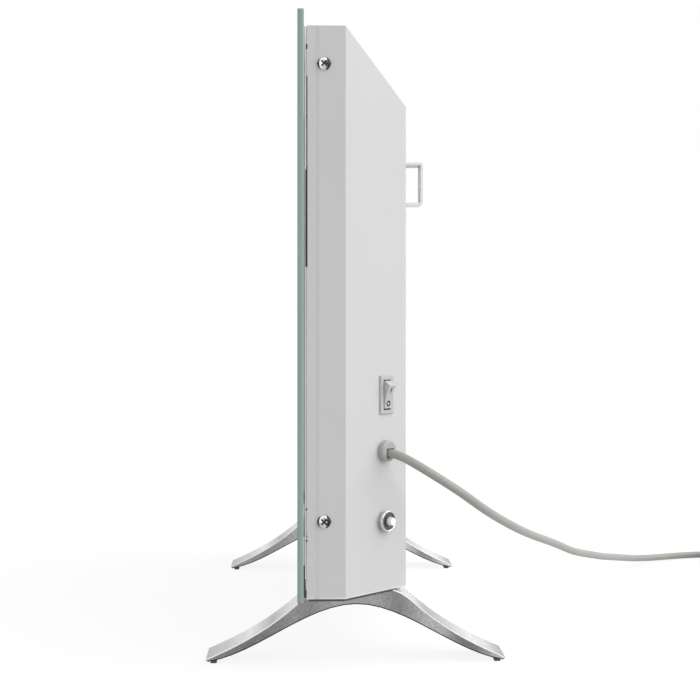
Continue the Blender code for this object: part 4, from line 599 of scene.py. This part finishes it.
def stand_in(node, bm, mesh, finishes, sharp_angle=SHARP_ANGLE):
    """Put a reshaped copy of a solid in its place, shaded smooth over its roundings."""
    for face in bm.faces:
        face.smooth = True
    fill_mesh(bm, mesh, finishes)
    mesh.set_sharp_from_angle(angle=sharp_angle)
    piece = add_piece(node + "_dressed", mesh, BODY_OF[node])
    shading = piece.modifiers.new("shading", "WEIGHTED_NORMAL")
    shading.keep_sharp = True
    shading.weight = NORMAL_WEIGHT
    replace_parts(piece, node)
    return piece


def rounded(node, widths, segments=2, finish=None, highlight_finish=None, sharp_angle=SHARP_ANGLE):
    """Replace a solid by a copy with rounded edges; the first set of edges may get a finish of painted highlight.
    """
    bm, mesh = clean_copy(node)
    for order, (chosen, width) in enumerate(widths):
        edges = [edge for edge in bm.edges if len(edge.link_faces) == 2 and edge.is_convex and chosen(edge)]
        made = bmesh.ops.bevel(bm, geom=edges, offset=width, offset_type="OFFSET", segments=segments,
                               profile=ROUND_PROFILE, affect="EDGES", clamp_overlap=True, miter_outer="ARC")
        # Faces of the first set of roundings take the painted-highlight finish
        if highlight_finish and order == 0:
            for face in made["faces"]:
                face.material_index = SECOND_FINISH
    finishes = [finish or SLOT_OF[node]]
    if highlight_finish:
        finishes.append(highlight_finish)
    return stand_in(node, bm, mesh, finishes, sharp_angle)


def sharp(edge):
    """Tell whether an edge is a hard corner."""
    return edge.calc_face_angle(0.0) > ROUND_ANGLE


def slimmest(edge):
    """Return the lesser width of the two faces at an edge."""
    return min(face.calc_area() / max(side.calc_length() for side in face.edges) for face in edge.link_faces)


def long_fold(edge):
    """Tell whether an edge is a fold between two wide faces of a sheet."""
    folded = edge.calc_face_angle(0.0) > FOLD_ANGLE
    return folded and edge.calc_length() > FOLD_LENGTH and slimmest(edge) > FOLD_FACE


def make_housing():
    """Round the folds of the housing, most of all the lower ones, with a painted highlight on the lower folds, and
    paint a darker shade into its grooves.
    """
    low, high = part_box("rear_housing")

    def low_fold(edge):
        down = max(vert.co.z for vert in edge.verts) < low.z + LOW_FOLD_REACH
        return down and sharp(edge) and slimmest(edge) > LOW_FOLD_FACE

    piece = rounded("rear_housing", ((low_fold, LOW_FOLD_RADIUS), (long_fold, FOLD_RADIUS)), FINE_SEGMENTS,
                    highlight_finish="fold_highlight", sharp_angle=ROUND_ANGLE)
    # The groove's faces take a darker finish, painted shade
    piece.data.materials.append(materials["painted_groove_shade"])
    for face in piece.data.polygons:
        sunk = high.x - GROOVE_DEPTH < abs(face.center.x) < high.x - GROOVE_RIM
        upright = abs(face.normal.z) < FACES_UP
        if sunk and upright and GROOVE_FRONT < face.center.y < GROOVE_REAR:
            face.material_index = THIRD_FINISH


def make_glass():
    """Give the glass its clear face, ground edges and enamelled back."""
    bm, mesh = clean_copy("glass_panel")
    stand_in("glass_panel", bm, mesh, ("glass", "glass_edge", "glass_enamel"))
    for face in mesh.polygons:
        if face.normal.y > FACES_AXIS:
            face.material_index = THIRD_FINISH
        elif face.normal.y > -FACES_AXIS:
            face.material_index = SECOND_FINISH


def upper(edge):
    """Tell whether a hard corner lies on the upper face."""
    return sharp(edge) and any(face.normal.z > FACES_UP for face in edge.link_faces)


def underside(edge):
    """Tell whether an edge lies between a foot's flank and its lower chamfer."""
    normals = [face.normal for face in edge.link_faces]
    flank = any(abs(normal.x) > FACES_AXIS for normal in normals)
    chamfer = any(normal.z < FACES_DOWN for normal in normals)
    return sharp(edge) and edge.calc_length() > UNDERSIDE_LENGTH and flank and chamfer


def make_feet():
    """Round the feet, with a painted highlight on the rounded corners along their upper faces."""
    for side in ("left", "right"):
        rounded("foot_" + side, ((upper, FOOT_CORNER), (underside, FOOT_UNDERSIDE)), FINE_SEGMENTS,
                highlight_finish="foot_corner_highlight")


def join_rows(bm, rows):
    """Join rows of matching points with faces all round."""
    for first, second in zip(rows, rows[1:]):
        for step in range(len(first)):
            after = (step + 1) % len(first)
            bm.faces.new((first[step], first[after], second[after], second[step]))


def add_rod(bm, rows):
    """Add a closed rod through rows of matching points."""
    join_rows(bm, rows)
    bm.faces.new(rows[0])
    bm.faces.new(rows[-1])


def add_strip(name, bm, edge, finish):
    """Add the rods of a working mesh as one strip with bevelled edges, in one finish."""
    bmesh.ops.recalc_face_normals(bm, faces=bm.faces)
    bmesh.ops.bevel(bm, geom=list(bm.edges), offset=edge, segments=1, affect="EDGES", clamp_overlap=True)
    add_piece(name, fill_mesh(bm, bpy.data.meshes.new(name), (finish,)))


def make_shade_strips():
    """Hang a slim dark strip under the housing's lower folds, as far as the feet, as painted shade of the gap
    beneath them.
    """
    low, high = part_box("rear_housing")
    top = low.z + SHADE_STRIP_HOLD
    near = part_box("foot_right")[1].x + SHADE_STRIP_FOOT_GAP
    rim = high.x - SHADE_STRIP_INSET
    turn = PANEL_FOLD_Y - SHADE_STRIP_INSET * EIGHTH_TURN_TANGENT
    path = (Vector((rim, low.y + SHADE_STRIP_FRONT, 0)), Vector((rim, turn, 0)),
            Vector((near, turn + rim - near, 0)))
    inner = (Vector((-SHADE_STRIP_THICKNESS, 0, 0)),
             Vector((-SHADE_STRIP_THICKNESS, -SHADE_STRIP_THICKNESS * EIGHTH_TURN_TANGENT, 0)),
             Vector((0, -SHADE_STRIP_THICKNESS * DIAGONAL, 0)))
    for side, name in ((1, "floor_shade_strip_right"), (-1, "floor_shade_strip_left")):
        bm = bmesh.new()
        rows = []
        for point, inward in zip(path, inner):
            corners = ((point, top), (point, top - SHADE_STRIP_DEPTH), (point + inward, top - SHADE_STRIP_DEPTH),
                       (point + inward, top))
            rows.append([bm.verts.new((place.x * side, place.y, height)) for place, height in corners])
        add_rod(bm, rows)
        add_strip(name, bm, SHADE_STRIP_EDGE, "shade_strip_black")


def make_seam_shade():
    """Cover the seam's openings and the gap beside the glass with dark strips standing just proud, as painted
    shade of those gaps.
    """
    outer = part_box("rear_housing")[1].x + SEAM_SHADE_PROUD
    for side, name in ((1, "seam_shade_right"), (-1, "seam_shade_left")):
        bm = bmesh.new()
        for front, rear, low, high in SEAM_SHADE_STRIPS:
            outline = ((front, low), (rear, low), (rear, high), (front, high))
            rows = [[bm.verts.new((side * x, y, z)) for y, z in outline]
                    for x in (outer - SEAM_SHADE_DEPTH, outer)]
            add_rod(bm, rows)
        add_strip(name, bm, SEAM_SHADE_EDGE, "black_plastic")


def make_screws():
    """Replace the side screws by domed heads with a deep cross recess, its deeper faces painted near-black as
    shade.
    """
    wall_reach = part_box("rear_housing")[1].x
    for node in [name for name in frame["nodes"] if name.startswith("side_screw")]:
        low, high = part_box(node)
        side = 1 if high.x > 0 else -1
        centre = centre_of(node)
        wall = side * wall_reach
        radius = (high.z - low.z) / 2
        rise = abs(high.x if side > 0 else low.x) - wall_reach

        def dome(reach):
            return rise * math.sqrt(max(0.0, 1 - (reach / radius)**DOME_POWER))

        bm = bmesh.new()
        rings = []
        for ring in range(SCREW_RINGS + 1):
            reach = radius * ring / SCREW_RINGS
            row = []
            for spoke in range(SCREW_SPOKES if ring else 1):
                angle = math.tau * spoke / SCREW_SPOKES
                first = reach * math.cos(angle)
                second = reach * math.sin(angle)
                height = dome(reach)
                cross = min(abs(first + second), abs(first - second)) / math.sqrt(2)
                if cross < CROSS_HALF_WIDTH and reach < CROSS_REACH:
                    height -= CROSS_DEPTH
                row.append(bm.verts.new((wall + side * height, centre.y + first, centre.z + second)))
            rings.append(row)
        for inner, outer in zip(rings, rings[1:]):
            for spoke in range(SCREW_SPOKES):
                after = (spoke + 1) % SCREW_SPOKES
                corners = (inner[spoke % len(inner)], outer[spoke], outer[after], inner[after % len(inner)])
                bm.faces.new(list(dict.fromkeys(corners)))
        bmesh.ops.recalc_face_normals(bm, faces=bm.faces)
        skirt = bm.faces.new(rings[-1])
        for face in bm.faces:
            face.smooth = True
            middle = face.calc_center_median()
            reach = math.hypot(middle.y - centre.y, middle.z - centre.z)
            # Deeper faces of the cross recess take the near-black finish: painted shade
            sunk = abs(middle.x - wall) < dome(reach) - CROSS_DEPTH * CROSS_DARK_SHARE
            if sunk and face is not skirt and reach < CROSS_REACH * CROSS_REACH_SHARE:
                face.material_index = SECOND_FINISH
        name = node + "_dressed"
        mesh = fill_mesh(bm, bpy.data.meshes.new(name), ("screw_chrome", "screw_recess_shade"))
        mesh.set_sharp_from_angle(angle=SHARP_ANGLE)
        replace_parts(add_piece(name, mesh), node)


def turned(name, profile, finish, matrix):
    """Add a ring turned about its own Z, from pairs of radius and height."""
    bm = bmesh.new()
    rings = []
    for radius, height in profile:
        turns = [math.tau * step / RING_SPOKES for step in range(RING_SPOKES)]
        ring = [bm.verts.new((radius * math.cos(turn), radius * math.sin(turn), height)) for turn in turns]
        rings.append(ring)
    join_rows(bm, rings + rings[:1])
    bmesh.ops.recalc_face_normals(bm, faces=bm.faces)
    for face in bm.faces:
        face.smooth = True
    bm.transform(matrix)
    mesh = fill_mesh(bm, bpy.data.meshes.new(name), (finish,))
    mesh.set_sharp_from_angle(angle=ROUND_ANGLE)
    return add_piece(name, mesh)


def make_reset():
    """Turn the reset button's ring with a rounded rim, its dark dished floor and the button's collar."""
    foot = centre_of("breaker_ring_nut") - PANEL_OUT * RING_HALF
    matrix = Matrix.Translation(foot) @ PANEL_TURN.to_4x4()
    ring = turned("breaker_ring_nut_dressed", RING_PROFILE, "chrome", matrix)
    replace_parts(ring, "breaker_ring_nut")
    turned("reset_recess", RECESS_PROFILE, "recess_grey", matrix)
    turned("reset_collar", COLLAR_PROFILE, "light_plastic", matrix)


def rocker_outline():
    """Return the rocker's surface as a ray caster."""
    bm = bmesh.new()
    bm.from_mesh(frame["nodes"]["switch_rocker"].data)
    tree = BVHTree.FromBMesh(bm)
    bm.free()
    return tree


def on_rocker(tree, along, across):
    """Return the place on the rocker's face at a distance above its pivot, and the face's normal."""
    start = ROCKER_PIVOT + PANEL_UP * along + PANEL_REAR * across + PANEL_OUT * CAST_FROM
    place, normal, _, _ = tree.ray_cast(start, -PANEL_OUT)
    return place, normal


def add_mark(name, outline_pairs):
    """Print a mark on the rocker from rows of matching outer and inner points."""
    tree = rocker_outline()
    bm = bmesh.new()
    rows = []
    for pair in outline_pairs:
        row = []
        for along, across in pair:
            place, normal = on_rocker(tree, along, across)
            row.append(bm.verts.new(place + normal * MARK_PROUD))
        rows.append(row)
    for first, second in zip(rows, rows[1:]):
        bm.faces.new((first[0], second[0], second[1], first[1]))
    bmesh.ops.recalc_face_normals(bm, faces=bm.faces)
    mesh = fill_mesh(bm, bpy.data.meshes.new(name), ("mark_ink",))
    add_piece(name, mesh, "rocker")


def make_marks():
    """Print the on and off marks of the rocker."""
    ring = []
    for step in range(OFF_MARK_STEPS + 1):
        angle = math.tau * step / OFF_MARK_STEPS
        ring.append([(radius * math.cos(angle) - OFF_MARK_BELOW, radius * math.sin(angle))
                     for radius in (OFF_MARK_RADIUS + OFF_MARK_STROKE, OFF_MARK_RADIUS - OFF_MARK_STROKE)])
    add_mark("rocker_mark_off", ring)
    bar = []
    for step in range(ON_MARK_STEPS + 1):
        along = ON_MARK_ABOVE + ON_MARK_HALF_LENGTH * (2 * step / ON_MARK_STEPS - 1)
        bar.append([(along, ON_MARK_HALF_WIDTH), (along, -ON_MARK_HALF_WIDTH)])
    add_mark("rocker_mark_on", bar)


def smooth_curve(points, heading_in, heading_out, spacing):
    """Return even points on a cubic spline through the given ones, with its two end headings given."""
    knots = np.array([tuple(point) for point in points])
    steps = np.linalg.norm(np.diff(knots, axis=0), axis=1)
    at = np.concatenate(([0.0], np.cumsum(steps)))
    count = len(knots)
    slopes = np.diff(knots, axis=0) / steps[:, None]
    system = np.zeros((count, count))
    right = np.zeros_like(knots)
    system[0, :2] = (2 * steps[0], steps[0])
    right[0] = 6 * (slopes[0] - np.array(heading_in))
    system[-1, -2:] = (steps[-1], 2 * steps[-1])
    right[-1] = 6 * (np.array(heading_out) - slopes[-1])
    for row in range(1, count - 1):
        system[row, row - 1:row + 2] = (steps[row - 1], 2 * (steps[row - 1] + steps[row]), steps[row])
        right[row] = 6 * (slopes[row] - slopes[row - 1])
    bend = np.linalg.solve(system, right)
    curve = []
    for distance in np.linspace(0.0, at[-1], max(2, round(at[-1] / spacing) + 1)):
        piece = min(int(np.searchsorted(at, distance, side="right")) - 1, count - 2)
        width = steps[piece]
        left = (at[piece + 1] - distance) / width
        rest = 1 - left
        value = left * knots[piece] + rest * knots[piece + 1]
        value = value + ((left**3 - left) * bend[piece] + (rest**3 - rest) * bend[piece + 1]) * width**2 / 6
        curve.append(Vector(value))
    return curve


def coil_points():
    """Return the centre line of the coil and the heading that it ends with."""
    outer = COIL_MEAN_RADIUS + COIL_PITCH * COIL_TURNS / 4
    centre = Vector((COIL_START.x + outer, COIL_START.y + 2 * CORD_RADIUS))
    total = math.tau * COIL_TURNS
    steps = round(COIL_POINTS_PER_TURN * COIL_TURNS)
    points = [COIL_START.copy()]
    for step in range(steps + 1):
        wound = total * step / steps
        radius = outer - COIL_PITCH * min(wound, total - wound) / math.tau
        climbed = min(1.0, max(0.0, (wound - total / 2) / math.pi + 0.5))
        lift = COIL_PITCH * (3 * climbed**2 - 2 * climbed**3)
        angle = math.pi - wound
        points.append(Vector((centre.x + radius * math.cos(angle), centre.y + radius * math.sin(angle),
                              COIL_START.z + lift)))
    angle = math.pi - total
    heading = Vector((math.sin(angle), -math.cos(angle), 0))
    points.append(points[-1] + heading * 2 * CORD_RADIUS)
    return points, heading


def make_cord():
    """Make the mains lead as one line from the gland through its coil to the plug, with what is on it."""
    carried = [rounded(node, ((sharp, PLUG_EDGE),))
               for node in ("plug_body", "plug_pin_left", "plug_pin_right", "cord_tie")]
    exit_point = on_panel(centre_of("cord_gland").z - GLAND_MOUTH_DROP, GLAND_MOUTH)
    knots = [exit_point + PANEL_OUT * CORD_STRAIGHT] + [Vector(point) for point in CORD_ROUTE] + [COIL_START]
    free = smooth_curve(knots, PANEL_OUT, Vector((0, 1, 0)), CORD_SPACING)
    coil, heading = coil_points()
    plug_rear = centre_of("plug_body")
    plug_rear.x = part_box("plug_body")[0].x
    tail_knots = [coil[-1] + heading * CORD_STRAIGHT, plug_rear - heading * CORD_STRAIGHT]
    tail = smooth_curve(tail_knots, heading, heading, CORD_SPACING)
    line = [exit_point] + free + coil[1:] + tail + [plug_rear + heading * CORD_RADIUS]
    curve = bpy.data.curves.new("mains_lead", "CURVE")
    curve.dimensions = "3D"
    curve.bevel_depth = CORD_RADIUS
    curve.bevel_resolution = CORD_ROUNDNESS
    curve.use_fill_caps = True
    spline = curve.splines.new("POLY")
    spline.points.add(len(line) - 1)
    for target, point in zip(spline.points, line):
        target.co = (*point, 1.0)
    spline.use_smooth = True
    curve.materials.append(materials["cord_grey"])
    lead = add_piece("mains_lead", curve)
    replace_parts(lead, "cord_free", "cord_coil", "cord_tail")


def make_camera():
    """Set the camera where the photograph was taken from."""
    camera = bpy.data.cameras.new("camera")
    camera.sensor_width = SENSOR_MM
    camera.lens = FOCAL_PIXELS * SENSOR_MM / PHOTO_PIXELS
    camera.clip_start = CLIP_START
    camera.clip_end = CLIP_END
    camera.shift_y = (AXIS_PIXEL_Y - PHOTO_PIXELS / 2) / PHOTO_PIXELS
    yaw = math.atan2(PHOTO_PIXELS / 2 - AXIS_PIXEL_X, FOCAL_PIXELS)
    thing = bpy.data.objects.new("camera", camera)
    thing.location = EYE
    thing.rotation_euler = (math.pi / 2, 0, math.pi / 2 - yaw)
    bpy.context.scene.collection.objects.link(thing)
    bpy.context.scene.camera = thing


def make_world():
    """Set a white room whose far side, seen only in reflections, is darker."""
    world = bpy.data.worlds.new("studio")
    bpy.context.scene.world = world
    world.use_nodes = True
    world.cycles.sampling_method = "NONE"
    tree = world.node_tree
    tree.nodes.clear()

    def backdrop(strength):
        node = tree.nodes.new("ShaderNodeBackground")
        node.inputs["Color"].default_value = (1, 1, 1, 1)
        if isinstance(strength, bpy.types.NodeSocket):
            tree.links.new(strength, node.inputs["Strength"])
        else:
            node.inputs["Strength"].default_value = strength
        return node.outputs[0]

    def mixed(factor, first, second):
        node = tree.nodes.new("ShaderNodeMixShader")
        for socket, source in zip(node.inputs, (factor, first, second)):
            tree.links.new(source, socket)
        return node.outputs[0]

    direction = tree.nodes.new("ShaderNodeTexCoord")
    toward = tree.nodes.new("ShaderNodeVectorMath")
    toward.operation = "DOT_PRODUCT"
    tree.links.new(direction.outputs["Generated"], toward.inputs[0])
    toward.inputs[1].default_value = DARK_SIDE
    dark = tree.nodes.new("ShaderNodeMapRange")
    dark.interpolation_type = "SMOOTHSTEP"
    for name, value in DARK_FADE.items():
        dark.inputs[name].default_value = value
    tree.links.new(toward.outputs["Value"], dark.inputs["Value"])
    path = tree.nodes.new("ShaderNodeLightPath")
    either = tree.nodes.new("ShaderNodeMath")
    either.operation = "MAXIMUM"
    tree.links.new(path.outputs["Is Glossy Ray"], either.inputs[0])
    tree.links.new(path.outputs["Is Transmission Ray"], either.inputs[1])
    soft = mixed(either.outputs[0], backdrop(AMBIENT), backdrop(dark.outputs["Result"]))
    seen = mixed(path.outputs["Is Camera Ray"], soft, backdrop(1.0))
    output = tree.nodes.new("ShaderNodeOutputWorld")
    tree.links.new(seen, output.inputs["Surface"])


def make_floor():
    """Lay a white floor that still takes the heater's shadow."""
    mesh = bpy.data.meshes.new("floor")
    corners = [(FLOOR_REACH * x, FLOOR_REACH * y, 0) for x, y in ((-1, -1), (1, -1), (1, 1), (-1, 1))]
    mesh.from_pydata(corners, [], [(0, 1, 2, 3)])
    floor = bpy.data.objects.new("floor", mesh)
    bpy.context.scene.collection.objects.link(floor)
    nodes = Nodes("floor")
    nodes.shader.inputs["Base Color"].default_value = FLOOR_COLOUR
    nodes.shader.inputs["Roughness"].default_value = FLOOR_ROUGHNESS
    nodes.shader.inputs["Specular IOR Level"].default_value = 0.0
    path = nodes.add("ShaderNodeLightPath").outputs
    seen = path["Is Camera Ray"]
    place = nodes.split(nodes.place)
    dim = nodes.follow(place["X"], *DIM_FADE)
    aside = nodes.follow(nodes.math("ABSOLUTE", place["Y"]), *DIM_ASIDE_FADE)
    level = nodes.math("MAXIMUM", nodes.math("MAXIMUM", dim, aside), seen)
    glow = nodes.add("ShaderNodeEmission", Color=(1, 1, 1, 1),
                     Strength=nodes.math("MULTIPLY", level, FLOOR_GLOW))
    for name in ("Is Glossy Ray", "Is Transmission Ray"):
        seen = nodes.math("MAXIMUM", seen, path[name])
    mix = nodes.add("ShaderNodeMixShader")
    nodes.put(mix.inputs[0], nodes.math("MULTIPLY", seen, FLOOR_GLOW_SHARE))
    nodes.put(mix.inputs[1], nodes.shader.outputs[0])
    nodes.put(mix.inputs[2], glow.outputs[0])
    nodes.put(nodes.tree.nodes["Material Output"].inputs["Surface"], mix.outputs[0])
    mesh.materials.append(nodes.material)


def make_key():
    """Hang one broad soft light high on the rear side."""
    lamp = bpy.data.lights.new("key_lamp", "SUN")
    lamp.energy = KEY_STRENGTH
    lamp.angle = KEY_SPREAD
    thing = bpy.data.objects.new("key_lamp", lamp)
    thing.rotation_euler = KEY_FROM.to_track_quat("Z", "Y").to_euler()
    bpy.context.scene.collection.objects.link(thing)


def main():
    """Dress the heater and set the stage."""
    bpy.context.scene.view_settings.view_transform = "Standard"
    make_camera()
    make_cord()
    dress_frame()
    make_housing()
    make_glass()
    rounded("front_plate", ())
    rounded("switch_body", ((sharp, SWITCH_EDGE),))
    for side in ("left", "right"):
        rounded("hanger_bracket_" + side, ((sharp, SHEET_EDGE),))
    for start, width in SMALL_PIECES.items():
        for node in frame["nodes"]:
            if node.startswith(start):
                rounded(node, ((sharp, width),), finish=FINISH_OF.get(node))
    make_feet()
    make_shade_strips()
    make_seam_shade()
    make_screws()
    make_reset()
    make_marks()
    make_world()
    make_floor()
    make_key()


main()
